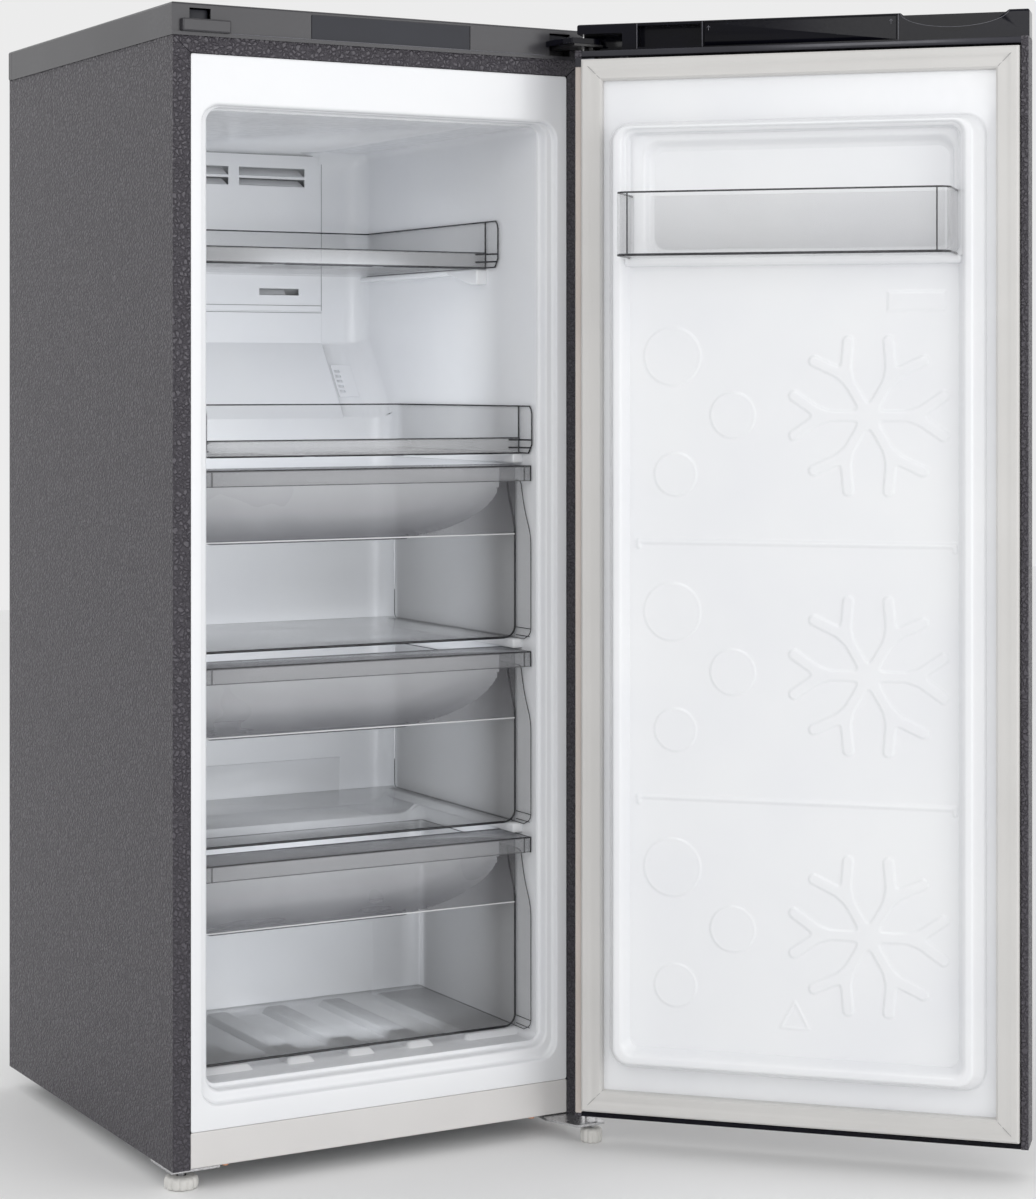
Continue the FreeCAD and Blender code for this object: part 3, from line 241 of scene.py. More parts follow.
def sheen_painted_sheet(name, low, high, alpha):
    """The hand hollow's smoke plastic, with light and shade painted into its colour: painted shade
    at its foot, clouding to a pale painted highlight under the bar.
    """
    finish = Finish(name, high, IOR=1.49, Alpha=alpha)
    # rise runs from 0 at the hollow's foot to 1 under the bar: it places the painted shade and the
    # painted highlight.
    rise = finish.node("Attribute", {"attribute_name": "rise"}, out="Fac")
    cloud = finish.noise(9, 2)
    finish.feed(
        Base_Color=finish.mix(finish.span(rise + 0.2 * cloud, 0.1, 1.0), low, high),
        Roughness=finish.span(cloud, 0.3, 0.7, 0.26, 0.36),
    )
    finish.relief(finish.noise(60, 1), 0.02, 0.2)
    return finish.material


steel = embossed_steel("embossed_charcoal_steel")
zinc_sheet = plated("galvanised_sheet", (0.50, 0.51, 0.52), (0.60, 0.61, 0.62), (0.34, 0.46), 70)
cover_grey = moulded("cover_satin_grey", (0.036, 0.035, 0.040), (0.048, 0.047, 0.053),
                     (0.20, 0.30), 0.02, 1400, Specular_IOR_Level=0.5)
inlay_grey = moulded("inlay_blue_grey", (0.016, 0.017, 0.024), (0.022, 0.024, 0.033),
                     (0.34, 0.45), 0.02, 1400, Specular_IOR_Level=0.35)
head_black = moulded("head_gloss_black", (0.002, 0.002, 0.004), (0.004, 0.004, 0.009),
                     (0.08, 0.15), 0.01, 300, Specular_IOR_Level=0.14)
# A pale line colour that paints highlights along seams and edges.
painted_highlight_line = moulded("painted_highlight_line_edge", (0.10, 0.10, 0.12), (0.16, 0.16, 0.18),
                      (0.2, 0.3), 0.01, 300)
strip_silver = moulded("strip_dark_silver", (0.020, 0.020, 0.026), (0.034, 0.034, 0.044),
                       (0.14, 0.22), 0.01, 60, Metallic=0.3)
edge_beige = moulded("edge_beige", (0.52, 0.46, 0.42), (0.60, 0.54, 0.50), (0.4, 0.55))
liner_white = moulded("liner_gloss_white", (0.83, 0.84, 0.865), (0.86, 0.87, 0.885),
                      (0.18, 0.27), 0.006, 90)
kick_white = moulded("kick_warm_white", (0.68, 0.665, 0.655), (0.72, 0.705, 0.695),
                     (0.36, 0.46), 0.03, 1200)
smoke_clear = smoke_sheet("smoke_clear", (0.24, 0.24, 0.25), (0.46, 0.465, 0.48), 0.03, 0.45)
smoke_bar = smoke_sheet("smoke_bar", (0.20, 0.20, 0.22), (0.33, 0.335, 0.35), 0.34, 0.75)
smoke_lip = smoke_sheet("smoke_lip", (0.30, 0.30, 0.32), (0.66, 0.67, 0.69), 0.30, 0.80)
smoke_web = smoke_sheet("smoke_web", (0.10, 0.10, 0.11), (0.17, 0.168, 0.18), 0.30, 0.7)
smoke_grip_painted_highlight = sheen_painted_sheet("smoke_grip_painted_highlight", (0.18, 0.18, 0.20), (0.88, 0.89, 0.92), 0.55)
smoke_edge = moulded("smoke_cut_edge", (0.018, 0.018, 0.022), (0.034, 0.034, 0.040),
                     (0.12, 0.2), 0.01, 300, Alpha=0.82)
# Pale rods along rounded folds: painted highlights where the light catches the plastic.
smoke_painted_highlight = moulded("smoke_fold_painted_highlight", (0.80, 0.80, 0.82), (0.88, 0.88, 0.90),
                     (0.12, 0.2), 0.01, 300, Alpha=0.85)
seal_grey = moulded("seal_warm_grey", (0.61, 0.60, 0.585), (0.65, 0.64, 0.625),
                    (0.42, 0.55), 0.05, 900)
foot_white = moulded("foot_off_white", (0.62, 0.61, 0.58), (0.72, 0.71, 0.69),
                     (0.35, 0.48), 0.04, 1100)
zinc_plate = plated("zinc_plate", (0.50, 0.50, 0.51), (0.68, 0.68, 0.69), (0.22, 0.36), 400)
copper_pipe = plated("copper_pipe", (0.55, 0.25, 0.14), (0.80, 0.42, 0.27), (0.25, 0.40), 150)
aluminium = plated("aluminium_fin", (0.66, 0.67, 0.68), (0.80, 0.81, 0.82), (0.3, 0.42), 300)
black_enamel = moulded("black_enamel", (0.008, 0.008, 0.009), (0.016, 0.016, 0.018),
                       (0.28, 0.42), 0.08, 500)
soft_black = moulded("soft_black_rubber", (0.012, 0.012, 0.013), (0.022, 0.022, 0.023),
                     (0.6, 0.8), 0.08, 900)
magnet_brown = moulded("magnet_brown", (0.05, 0.035, 0.03), (0.08, 0.06, 0.05), (0.6, 0.8))
board_green = moulded("board_green", (0.010, 0.07, 0.03), (0.02, 0.11, 0.05), (0.3, 0.5))
mid_grey = moulded("mid_grey_plastic", (0.16, 0.165, 0.17), (0.22, 0.225, 0.23),
                   (0.4, 0.55), 0.04, 900)

# Which CAD nodes keep their shape, and the finish of each.
KEPT = {
    steel: ["left_side_panel", "right_side_panel", "top_panel", "door_outer_panel"],
    zinc_sheet: ["back_panel", "base_pan", "compressor_plate"],
    cover_grey: ["top_cover", "top_cover_rear_strip", "hinge_blank_cap"],
    inlay_grey: ["top_cover_inlay"],
    head_black: ["door_head", "head_cover", "hinge_cover", "door_bottom_cap"],
    liner_white: ["duct_cover", "evaporator_cover", "sensor_grille", "fan_shroud"],
    kick_white: ["kick_panel"],
    smoke_clear: ["door_rack", "upper_tray", "lower_tray"],
    zinc_plate: ["bottom_hinge", "base_brackets", "roller_axles"],
    copper_pipe: ["cabinet_screws", "filter_drier", "refrigerant_pipes"],
    aluminium: ["evaporator_fins", "evaporator_tube", "defrost_heater"],
    black_enamel: ["compressor", "top_hinge"],
    soft_black: ["compressor_mounts", "cord_gland", "hinge_bushes"],
    magnet_brown: ["magnet_strips"],
    board_green: ["control_board"],
    mid_grey: ["control_box", "fan_blade", "fan_motor", "drain_tube", "drip_tray",
               "machine_cover", "left_roller", "right_roller"],
}

# The radius of the edges: broad on moulded nodes, and EDGE on sheet metal and small parts.
EDGE = 0.6
EDGE_ANGLE = 30
WELD_REACH = 0.02
SOFT_EDGES = {
    "kick_panel": 1.6, "top_cover": 2.2, "top_cover_rear_strip": 2.2, "door_head": 1.6,
    "duct_cover": 0.8, "evaporator_cover": 0.8, "head_cover": 0.8, "hinge_cover": 1.4,
    "hinge_blank_cap": 1.6, "door_outer_panel": 0.9, "door_bottom_cap": 1.6,
}


def ease_edges(thing, width):
    """Joins the split corners of a CAD mesh and rounds its edges, by modifiers."""
    weld = thing.modifiers.new("join_corners", "WELD")
    weld.merge_threshold = WELD_REACH * MM
    bevel = thing.modifiers.new("ease_edges", "BEVEL")
    bevel.width = width * MM
    bevel.segments = 3
    bevel.limit_method = "ANGLE"
    bevel.angle_limit = math.radians(EDGE_ANGLE)
    bevel.harden_normals = True
    bevel.use_clamp_overlap = True


def keep(node, material):
    """Gives a CAD node its finish and its rounded edges; its shape stays."""
    thing = frame["nodes"][node]
    thing.data.materials.clear()
    thing.data.materials.append(material)
    ease_edges(thing, SOFT_EDGES.get(node, EDGE))


for material, nodes in KEPT.items():
    for node in nodes:
        keep(node, material)


# -------------------------------- mesh helpers

def placed(name, data, body, nodes=()):
    """A new object that rides on a body, in place of the CAD nodes that it replaces."""
    thing = bpy.data.objects.new(name, data)
    bpy.context.scene.collection.objects.link(thing)
    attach(thing, body)
    if nodes:
        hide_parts(*nodes)
    return thing


def piece(name, points, faces, material, body, nodes=(), crease=40):
    """A new object from points in millimetres, sharp where its faces turn past crease."""
    mesh = bpy.data.meshes.new(name)
    mesh.from_pydata((np.asarray(points, float) * MM).tolist(), [], faces)
    mesh.validate()
    mesh.shade_smooth()
    mesh.set_sharp_from_angle(angle=math.radians(crease))
    mesh.materials.append(material)
    return placed(name, mesh, body, nodes)


def grid_faces(wide, high):
    """The faces of a grid of points, row by row."""
    return [(row * wide + k, row * wide + k + 1, (row + 1) * wide + k + 1,
             (row + 1) * wide + k)
            for row in range(high - 1) for k in range(wide - 1)]


def ring_faces(rings, around):
    """The faces of a tube of rings, with as many points around each."""
    return [(row * around + k, row * around + (k + 1) % around,
             (row + 1) * around + (k + 1) % around, (row + 1) * around + k)
            for row in range(rings - 1) for k in range(around)]


def arc(start, corner, end, share):
    """The point at share 0..1 of a smooth turn from start, round a corner, to end."""
    rest = 1 - share
    return rest ** 2 * start + 2 * share * rest * corner + share * share * end


def rounded_loop(low, high, radius):
    """A rounded rectangle as (a, b) points, from its corner low to its corner high."""
    steps = 10
    middles = [(high[0] - radius, high[1] - radius), (low[0] + radius, high[1] - radius),
               (low[0] + radius, low[1] + radius), (high[0] - radius, low[1] + radius)]
    loop = []
    for quarter, (a, b) in enumerate(middles):
        for step in range(steps + 1):
            turn = math.radians(90) * (quarter + step / steps)
            loop.append((a + radius * math.cos(turn), b + radius * math.sin(turn)))
    return loop


def eased(stations, reach, steps=4):
    """The stations of a loft with each corner between them rounded over reach."""
    stations = np.array(stations, float)
    out = [stations[0]]
    for before, here, after in zip(stations, stations[1:], stations[2:]):
        back = before - here
        ahead = after - here
        start = here + back * min(0.5, reach / np.linalg.norm(back))
        end = here + ahead * min(0.5, reach / np.linalg.norm(ahead))
        out.extend(arc(start, here, end, w) for w in np.linspace(0, 1, steps + 1))
    out.append(stations[-1])
    return out


def frame_loft(stations, place, closed_end=False):
    """Lofts rounded rectangles (a0, a1, b0, b1, radius, level) through place(a, level, b)."""
    points = []
    for a0, a1, b0, b1, radius, level in stations:
        loop = rounded_loop((a0, b0), (a1, b1), radius)
        points.extend(place(a, level, b) for a, b in loop)
    around = len(loop)
    faces = ring_faces(len(stations), around)
    if closed_end:
        faces.append(tuple(reversed(range(len(points) - around, len(points)))))
    return points, faces


def joined(*parts):
    """Several (points, faces) as one."""
    points = []
    faces = []
    for part_points, part_faces in parts:
        start = len(points)
        points.extend(part_points)
        faces.extend(tuple(start + k for k in face) for face in part_faces)
    return points, faces


def taken(shape):
    """A bmesh's points and faces; the bmesh is freed."""
    shape.verts.index_update()
    points = [tuple(vert.co) for vert in shape.verts]
    faces = [tuple(vert.index for vert in face.verts) for face in shape.faces]
    shape.free()
    return points, faces


def block(low, high, radius):
    """A box with rounded edges, as (points, faces)."""
    shape = bmesh.new()
    bmesh.ops.create_cube(shape, size=1)
    low = Vector(low)
    high = Vector(high)
    for vert in shape.verts:
        share = vert.co + Vector((0.5, 0.5, 0.5))
        vert.co = Vector(low[k] + share[k] * (high[k] - low[k]) for k in range(3))
    bmesh.ops.bevel(shape, geom=shape.edges[:], offset=radius, segments=3,
                    affect="EDGES", profile=0.5)
    return taken(shape)


def cut_sheet(outline, x, thick, radius, steps):
    """A sheet from x to x + thick with an outline of (y, z) corners and rounded edges."""
    shape = bmesh.new()
    near = [shape.verts.new((x, y, z)) for y, z in outline]
    far = [shape.verts.new((x + thick, y, z)) for y, z in outline]
    shape.faces.new(near)
    shape.faces.new(far)
    for k in range(len(outline)):
        shape.faces.new((near[k - 1], near[k], far[k], far[k - 1]))
    bmesh.ops.recalc_face_normals(shape, faces=shape.faces[:])
    bmesh.ops.bevel(shape, geom=shape.edges[:], offset=radius, segments=steps,
                    affect="EDGES", profile=0.5)
    return taken(shape)


def edge_lines(name, paths, body, radius, material):
    """Thin rounded rods along corners: cut edges, folds, seams and fine raised lines."""
    curve = bpy.data.curves.new(name, "CURVE")
    curve.dimensions = "3D"
    curve.bevel_depth = radius * MM
    curve.bevel_resolution = 2
    curve.use_fill_caps = True
    for path in paths:
        spline = curve.splines.new("POLY")
        spline.points.add(len(path) - 1)
        for point, corner in zip(spline.points, path):
            point.co = (*(MM * value for value in corner), 1)
    curve.materials.append(material)
    placed(name, curve, body)


def mirrored(paths):
    """The paths, and the same paths on the other hand."""
    return paths + [[(-x, y, z) for x, y, z in path] for path in paths]


# -------------------------------- the door's own frame

hinge = next(joint for joint in frame["joints"] if joint["name"] == "door_hinge")
hinge_x = hinge["pos_m"][0] / MM
hinge_y = hinge["pos_m"][1] / MM
door_turn = math.radians(-hinge["range_deg"][0])


def on_door(s, t, z):
    """s from the hinge along the door, t from it towards the shut cabinet, and z."""
    return (hinge_x - s * math.cos(door_turn) - t * math.sin(door_turn),
            hinge_y - s * math.sin(door_turn) + t * math.cos(door_turn), z)


# -------------------------------- the cabinet's liner

LINER_LOW, LINER_HIGH = extent("inner_liner")
ROOM_HALF = 227
ROOM_FLOOR = 118
ROOM_TOP = 1281
ROOM_FRONT = 25
STEP_BACK = 352
STEP_TOP = 364
BACK_LOW = 457
BACK_HIGH = 530
SLOPE_FOOT = 905
SLOPE_TOP = 1011
RECESS_HALF = 158
RECESS_BACK = 548
RECESS_SILL = 440
RECESS_LINTEL = 1272
CORNER = 28
FLOOR_CORNER = 10
LEDGE_CORNER = 3

# Edges flatter than this stay sharp; those that run this far back take the floor's radius.
FLAT_ANGLE = 0.1
LONG_EDGE = 200

WALL_REACH = ROOM_HALF + 1

# Tray or drawer carried by each pair of rails, the rails' front ends and their height.
RAILS = [("upper_tray", 158, 7), ("lower_tray", 60, 12), ("drawer_1_tub", 60, 12),
         ("drawer_2_tub", 60, 12)]
RAIL_INSIDE = 213
RAIL_GAP = 0.3
GUSSET_INSIDE = 212
GUSSET = [(156, 1104), (156, 1084), (176, 1084), (240, 1100), (240, 1104)]

FLOOR_RIBS = [(-WALL_REACH, -152), (-97, -69), (-14, 14), (69, 97), (152, WALL_REACH)]
RIB_FRONT = 62
RIB_BACK = 334
RIB_HIGH = 8
RIB_FLARE = 4
RIB_ROUND = 6


def on_flange(x, y, z):
    """A place for a loft that goes back from the flange."""
    return (x, y, z)


def on_floor(x, z, y):
    """A place for a loft that goes up from the floor."""
    return (x, y, z)


def liner_mouth():
    """The flange and the two rounded steps round the room's mouth."""
    edge = (LINER_LOW[0], LINER_HIGH[0], LINER_LOW[2], LINER_HIGH[2], 3)
    stations = eased([
        (*edge, 2.0),
        (*edge, 0.0),
        (-243, 243, 98, 1285, 24, 0.0),
        (-242, 242, 99, 1284.4, 23, 10.0),
        (-233, 233, 112, 1283.4, 20, 10.6),
        (-232, 232, 113, 1282.8, 19, 25.0),
        (-226.8, 226.8, 118.2, 1280.8, 11, 25.4),
    ], 5.0, 5)
    points, faces = frame_loft(stations, on_flange)
    piece("liner_mouth", points, faces, liner_white, "cabinet",
          ["inner_liner"])


def liner_room():
    """The room behind the mouth: one skin with a stepped, sloping back and a recess."""
    shape = bmesh.new()
    low_run = [(ROOM_FRONT, ROOM_FLOOR), (STEP_BACK, ROOM_FLOOR), (STEP_BACK, STEP_TOP),
               (BACK_LOW, STEP_TOP)]
    slope = [(BACK_LOW, SLOPE_FOOT), (BACK_HIGH, SLOPE_TOP)]
    top_run = [(BACK_HIGH, ROOM_TOP), (ROOM_FRONT, ROOM_TOP)]
    profile = [*low_run, *slope, *top_run]
    recess = [(BACK_LOW, RECESS_SILL), (RECESS_BACK, RECESS_SILL),
              (RECESS_BACK, RECESS_LINTEL), (BACK_HIGH, RECESS_LINTEL)]
    columns = [-ROOM_HALF, -RECESS_HALF, RECESS_HALF, ROOM_HALF]
    outer = {}
    for x in columns:
        for y, z in profile:
            outer[x, y, z] = shape.verts.new((x, y, z))
        if abs(x) == RECESS_HALF:
            for y, z in recess:
                outer[x, y, z] = shape.verts.new((x, y, z))
    middle = [*low_run, *recess, *top_run]
    for x0, x1 in zip(columns, columns[1:]):
        run = middle if x0 == -RECESS_HALF else profile
        for first, second in zip(run, run[1:]):
            shape.faces.new((outer[(x0, *first)], outer[(x1, *first)],
                             outer[(x1, *second)], outer[(x0, *second)]))
    for x in (-RECESS_HALF, RECESS_HALF):
        shape.faces.new([outer[(x, *corner)] for corner in [*recess, *reversed(slope)]])
    for x in (-ROOM_HALF, ROOM_HALF):
        shape.faces.new([outer[(x, *corner)] for corner in profile])
    bmesh.ops.recalc_face_normals(shape, faces=shape.faces[:])
    shape.edges.ensure_lookup_table()
    weights = shape.edges.layers.float.new("bevel_weight_edge")
    for edge in shape.edges:
        a, b = (vert.co for vert in edge.verts)
        flat = len(edge.link_faces) < 2 or edge.calc_face_angle(0) < FLAT_ANGLE
        if flat or abs(a.x) == abs(b.x) == RECESS_HALF:
            continue
        low = max(a.z, b.z) <= ROOM_FLOOR + 1
        along = abs(a.y - b.y) > LONG_EDGE
        radius = FLOOR_CORNER if low or along else CORNER
        if a.x != b.x and max(a.z, b.z) < ROOM_TOP - 1:
            radius = LEDGE_CORNER
        if a.x != b.x and a.z in (RECESS_SILL, RECESS_LINTEL):
            radius = 0
        edge[weights] = radius / CORNER
    mesh = bpy.data.meshes.new("liner_room")
    shape.to_mesh(mesh)
    shape.free()
    mesh.transform(Matrix.Scale(MM, 4))
    mesh.shade_smooth()
    mesh.materials.append(liner_white)
    room = placed("liner_room", mesh, "cabinet",
                  ["inner_liner", "foam_insulation"])
    bevel = room.modifiers.new("round_corners", "BEVEL")
    bevel.width = CORNER * MM
    bevel.segments = 6
    bevel.limit_method = "WEIGHT"
    bevel.use_clamp_overlap = True
    bevel.harden_normals = True


def floor_rib(low_x, high_x):
    """A rib on the room's floor: a rounded bar with a sloping front end."""
    flared = (low_x - RIB_FLARE, high_x + RIB_FLARE, RIB_FRONT, RIB_BACK, 5)
    stations = [(*flared, ROOM_FLOOR - 1),
                (*flared, ROOM_FLOOR),
                (low_x, high_x, RIB_FRONT + 14, RIB_BACK - 4, RIB_ROUND,
                 ROOM_FLOOR + RIB_HIGH),
                (low_x + RIB_ROUND, high_x - RIB_ROUND, RIB_FRONT + 22, RIB_BACK - 8, 3,
                 ROOM_FLOOR + RIB_HIGH + 0.2)]
    return frame_loft(eased(stations, 3.0), on_floor, closed_end=True)


def liner_rails():
    """The rails under the trays and drawers, the upper ones' webs, and the floor's ribs."""
    parts = []
    for hand in (-1, 1):
        low_x, high_x = sorted((hand * RAIL_INSIDE, hand * WALL_REACH))
        for node, front, thick in RAILS:
            low, high = extent(node)
            top = low[2] - RAIL_GAP
            parts.append(block((low_x, front, top - thick), (high_x, high[1], top), 2.5))
        reach = WALL_REACH - GUSSET_INSIDE
        parts.append(cut_sheet(GUSSET, hand * GUSSET_INSIDE, hand * reach, 2, 3))
    parts.extend(floor_rib(low_x, high_x) for low_x, high_x in FLOOR_RIBS)
    points, faces = joined(*parts)
    piece("liner_rails", points, faces, liner_white, "cabinet",
          ["inner_liner"])


liner_mouth()
liner_room()
liner_rails()


# -------------------------------- the door's liner

# Places on the door are (s, z): from the hinge along the door, and up.
PANEL_LEVEL = 55
PANEL_SIDES = (57, 473)
PANEL_ENDS = (130, 1106)
BANDS = 3
BAND_PITCH = 313.7
CELL = 1.35
SHELF_LINES = (760, 446)
SHELF_SIDES = (75, 463)
SNOWFLAKE = (358.6, 915.1)
HUB = 13
ARM = 56
BRANCH = 42
BRANCH_LEAN = 35
RINGS = ((117, 987.6, 35), (192.5, 915.4, 27.3), (121, 842.8, 25.8))
BADGE = (416.5, 1053.2)
BADGE_HALF = (34.5, 11.7)
TRIANGLE = ((252, 172), (286, 172), (269, 204))
SEAT_LEVEL = 32.9


def soft_step(distance, width):
    """1 inside, 0 outside, and eased over width each side of distance 0."""
    share = np.clip(0.5 - distance / (2 * width), 0, 1)
    return share * share * (3 - 2 * share)


def bar(s, z, start, end, half_width):
    """How far points are outside a rounded bar from start to end."""
    start = np.array(start, float)
    along = np.array(end, float) - start
    share = ((s - start[0]) * along[0] + (z - start[1]) * along[1]) / (along @ along)
    share = np.clip(share, 0, 1)
    beside = np.hypot(s - start[0] - share * along[0], z - start[1] - share * along[1])
    return beside - half_width


def blended(distances, reach):
    """The union of shapes with their inside corners rounded over about reach."""
    sharpness = 4 / reach
    total = sum(np.exp(-distance * sharpness) for distance in distances)
    return -np.log(np.maximum(total, 1e-30)) / sharpness


def snowflake(s, z):
    """Six arms that each fork in two, as distance outside their outline."""
    middle = np.array(SNOWFLAKE)
    parts = [np.hypot(s - middle[0], z - middle[1]) - HUB]
    for arm in range(6):
        angle = math.radians(60 * arm)
        ahead = np.array((math.cos(angle), math.sin(angle)))
        fork = middle + ARM * ahead
        parts.append(bar(s, z, middle + 8 * ahead, fork, 6.0))
        for side in (-1, 1):
            lean = angle + side * math.radians(BRANCH_LEAN)
            tip = fork + BRANCH * np.array((math.cos(lean), math.sin(lean)))
            parts.append(bar(s, z, fork, tip, 6.2))
    return blended(parts, 9)


def panel_height(s, z):
    """How far the door panel's mouldings stand off it."""
    high = np.zeros_like(s)
    near, far = SHELF_SIDES
    for level in SHELF_LINES:
        line = bar(s, z, (near, level), (far, level), 2.5)
        hooks = [bar(s, z, (end, level), (end, level - 7), 2.5) for end in SHELF_SIDES]
        high += 1.8 * soft_step(blended([line, *hooks], 3), 1.3)
    for band in range(BANDS):
        raised = z + BAND_PITCH * band
        high += 1.4 * soft_step(snowflake(s, raised), 1.1)
        for ring_s, ring_z, radius in RINGS:
            away = np.hypot(s - ring_s, raised - ring_z) - radius
            high += 0.9 * soft_step(away, 1.2) + 0.8 * soft_step(np.abs(away) - 0.6, 1.3)
    badge = np.maximum(np.abs(s - BADGE[0]) - BADGE_HALF[0],
                       np.abs(z - BADGE[1]) - BADGE_HALF[1])
    high += 0.9 * soft_step(badge, 1.6)
    sides = [bar(s, z, TRIANGLE[k - 1], TRIANGLE[k], 1.4) for k in range(3)]
    high += 0.8 * soft_step(np.minimum.reduce(sides), 1.4)
    return high


def door_panel_band(number, low, high):
    """One height of the door's inner panel, as a fine grid."""
    near, far = PANEL_SIDES
    across = np.linspace(near, far, round((far - near) / CELL) + 1)
    up = np.linspace(low, high, round((high - low) / CELL) + 1)
    s, z = np.meshgrid(across, up)
    t = PANEL_LEVEL + panel_height(s, z)
    x, y, _ = on_door(s, t, z)
    points = np.stack([x, y, z], -1).reshape(-1, 3)
    piece(f"door_panel_{number}", points, grid_faces(len(across), len(up)), liner_white,
          "door", ["door_liner"], 60)


def door_dike():
    """The raised frame round the panel, from the seal's seat over its ridge."""
    stations = eased([
        (2, 532, 53, 1353, 6, SEAT_LEVEL),
        (32.5, 497.5, 105.6, 1277.6, 26, SEAT_LEVEL),
        (44, 486, 117, 1271.5, 20, 67),
        (46, 484, 119, 1270.5, 19, 70),
        (54, 476, 127, 1268, 16, 70),
        (57, 473, 131, 1266.5, 14, 67),
        (63, 467, 137, 1265, 12, 55.5),
        (64, 466, 138, 1264, 12, 54),
    ], 3.5)
    points, faces = frame_loft(stations, on_door)
    piece("door_dike", points, faces, liner_white, "door",
          ["door_liner", "door_foam"])


def door_niche():
    """The pocket behind the rack, with its back plate and the lip below it."""
    stations = eased([
        (54, 476, 1104, 1267, 14, 66),
        (61, 469, 1108.5, 1263, 12, 63),
        (62, 468, 1110, 1262, 14, 50),
        (80, 461, 1112, 1253, 20, 48),
        (85, 458, 1114, 1247, 18, 38),
        (91, 454, 1120, 1241, 14, 36),
    ], 5.0)
    pocket = frame_loft(stations, on_door, closed_end=True)
    lip_stations = eased([
        (58, 472, 1098, 1110, 4, 54),
        (57, 473, 1098, 1110, 5, 62),
        (60, 470, 1101, 1108, 3.4, 66),
        (62, 468, 1103, 1106, 1.4, 66.5),
    ], 3.0)
    lip = frame_loft(lip_stations, on_door, closed_end=True)
    points, faces = joined(pocket, lip)
    piece("door_niche", points, faces, liner_white, "door", ["door_liner"])


door_dike()
door_niche()
band_edges = np.linspace(*PANEL_ENDS, BANDS + 1)
for number, (low, high) in enumerate(zip(band_edges, band_edges[1:]), 1):
    door_panel_band(number, low, high)


# -------------------------------- the seal

SEAL_LOW = extent("door_gasket")[0][2]
SEAL_HIGH = extent("door_gasket")[1][2]
SEAL_SIDES = (-3, 537)

# How far in from the seal's outside, and how far off the door, its section goes.
SEAL_SECTION = [(0, 32.8), (0.6, 41.0), (3, 43.6), (9, 44.1), (12, 43.0), (14, 42.7),
                (16, 43.0), (20, 44.1), (25, 43.6), (27.4, 41.0), (28, 36), (28, 32.8)]


def seal():
    """The door's seal: a flat band with a bellows groove along its middle."""
    near, far = SEAL_SIDES
    points = []
    for inset, level in SEAL_SECTION:
        for s, z in ((near + inset, SEAL_LOW + inset), (far - inset, SEAL_LOW + inset),
                     (far - inset, SEAL_HIGH - inset), (near + inset, SEAL_HIGH - inset)):
            points.append(on_door(s, level, z))
    piece("door_seal", points, ring_faces(len(SEAL_SECTION), 4), seal_grey, "door",
          ["door_gasket"], 35)


seal()


# -------------------------------- drawers and trays

TUB_LOW, TUB_HIGH = extent("drawer_1_tub")
BIN_HALF = TUB_HIGH[0]
BAR_FRONT = TUB_LOW[1]
SHEET = 2.5
INSIDE = BIN_HALF - SHEET - 0.3
PLATE_FRONT = 72
BAR_BACK = 112
SCOOP_HIGH = 69
SCOOP_DEEP = 38
SCOOP_CORNER = 172
SCOOP_NEAR_CORNER = 26
SCOOP_INSET = 28
SCOOP_NEAR_INSET = 3
WEB_DEPTH = 4
TRAY_LIP = 19
TRAY_LIP_BACK = 32
SLOT_PITCH = 140
SLOT_HALF = 62


def scoop_depth(x, z, shoulder):
    """How far back the hollow goes at x, z: round-ended, and eased in at its foot."""
    reach = np.where(x > 0, SCOOP_CORNER, SCOOP_NEAR_CORNER)
    side = np.abs(x) - (BIN_HALF - np.where(x > 0, SCOOP_INSET, SCOOP_NEAR_INSET))
    a = np.maximum((side + reach) * SCOOP_HIGH / reach, 0)
    b = np.maximum(shoulder - z + SCOOP_HIGH, 0)
    inside = np.clip(1 - np.hypot(a, b) / SCOOP_HIGH, 0, 1)
    return SCOOP_DEEP * np.sin(np.pi / 2 * np.sqrt(1 - (1 - inside) ** 2))


def drawer_face(body, floor, shoulder, bar):
    """The front sheet: a flat plate, and the hollow for the hand above its shoulder."""
    across = np.linspace(-INSIDE, INSIDE, 151)
    spans = (("plate", smoke_clear, np.linspace(floor + SHEET, shoulder, 24)),
             ("grip", smoke_grip_painted_highlight, np.linspace(shoulder, bar - SHEET, 44)))
    for part, material, up in spans:
        x, z = np.meshgrid(across, up)
        depth = scoop_depth(x, z, shoulder)
        points = np.stack([x, PLATE_FRONT + depth, z], -1).reshape(-1, 3)
        sheet = piece(f"{body}_{part}", points, grid_faces(len(across), len(up)), material,
                      body, [f"{body}_front"], 50)
        if part == "grip":
            # rise places the hollow's painted shade and painted highlight: 0 at the shoulder, 1
            # under the bar.
            rise = sheet.data.attributes.new("rise", "FLOAT", "POINT")
            share = (z.ravel() - shoulder) / (bar - shoulder)
            rise.data.foreach_set("value", share.astype(np.float32))
            sheet.data.materials.append(smoke_web)
            for polygon in sheet.data.polygons:
                shallow = depth.ravel()[list(polygon.vertices)].max() < WEB_DEPTH
                polygon.material_index = int(shallow)
        thick = sheet.modifiers.new("sheet", "SOLIDIFY")
        thick.thickness = SHEET * MM
        thick.offset = -1


def curved(corners):
    """(y, z, radius) corners as points, each rounded off by its radius."""
    out = []
    count = len(corners)
    for k, (y, z, radius) in enumerate(corners):
        here = np.array((y, z))
        before = np.array(corners[k - 1][:2]) - here
        after = np.array(corners[(k + 1) % count][:2]) - here
        if radius == 0:
            out.append((y, z))
            continue
        start = here + before * radius / np.linalg.norm(before)
        end = here + after * radius / np.linalg.norm(after)
        out.extend(tuple(arc(start, here, end, w)) for w in np.linspace(0, 1, 5))
    return out


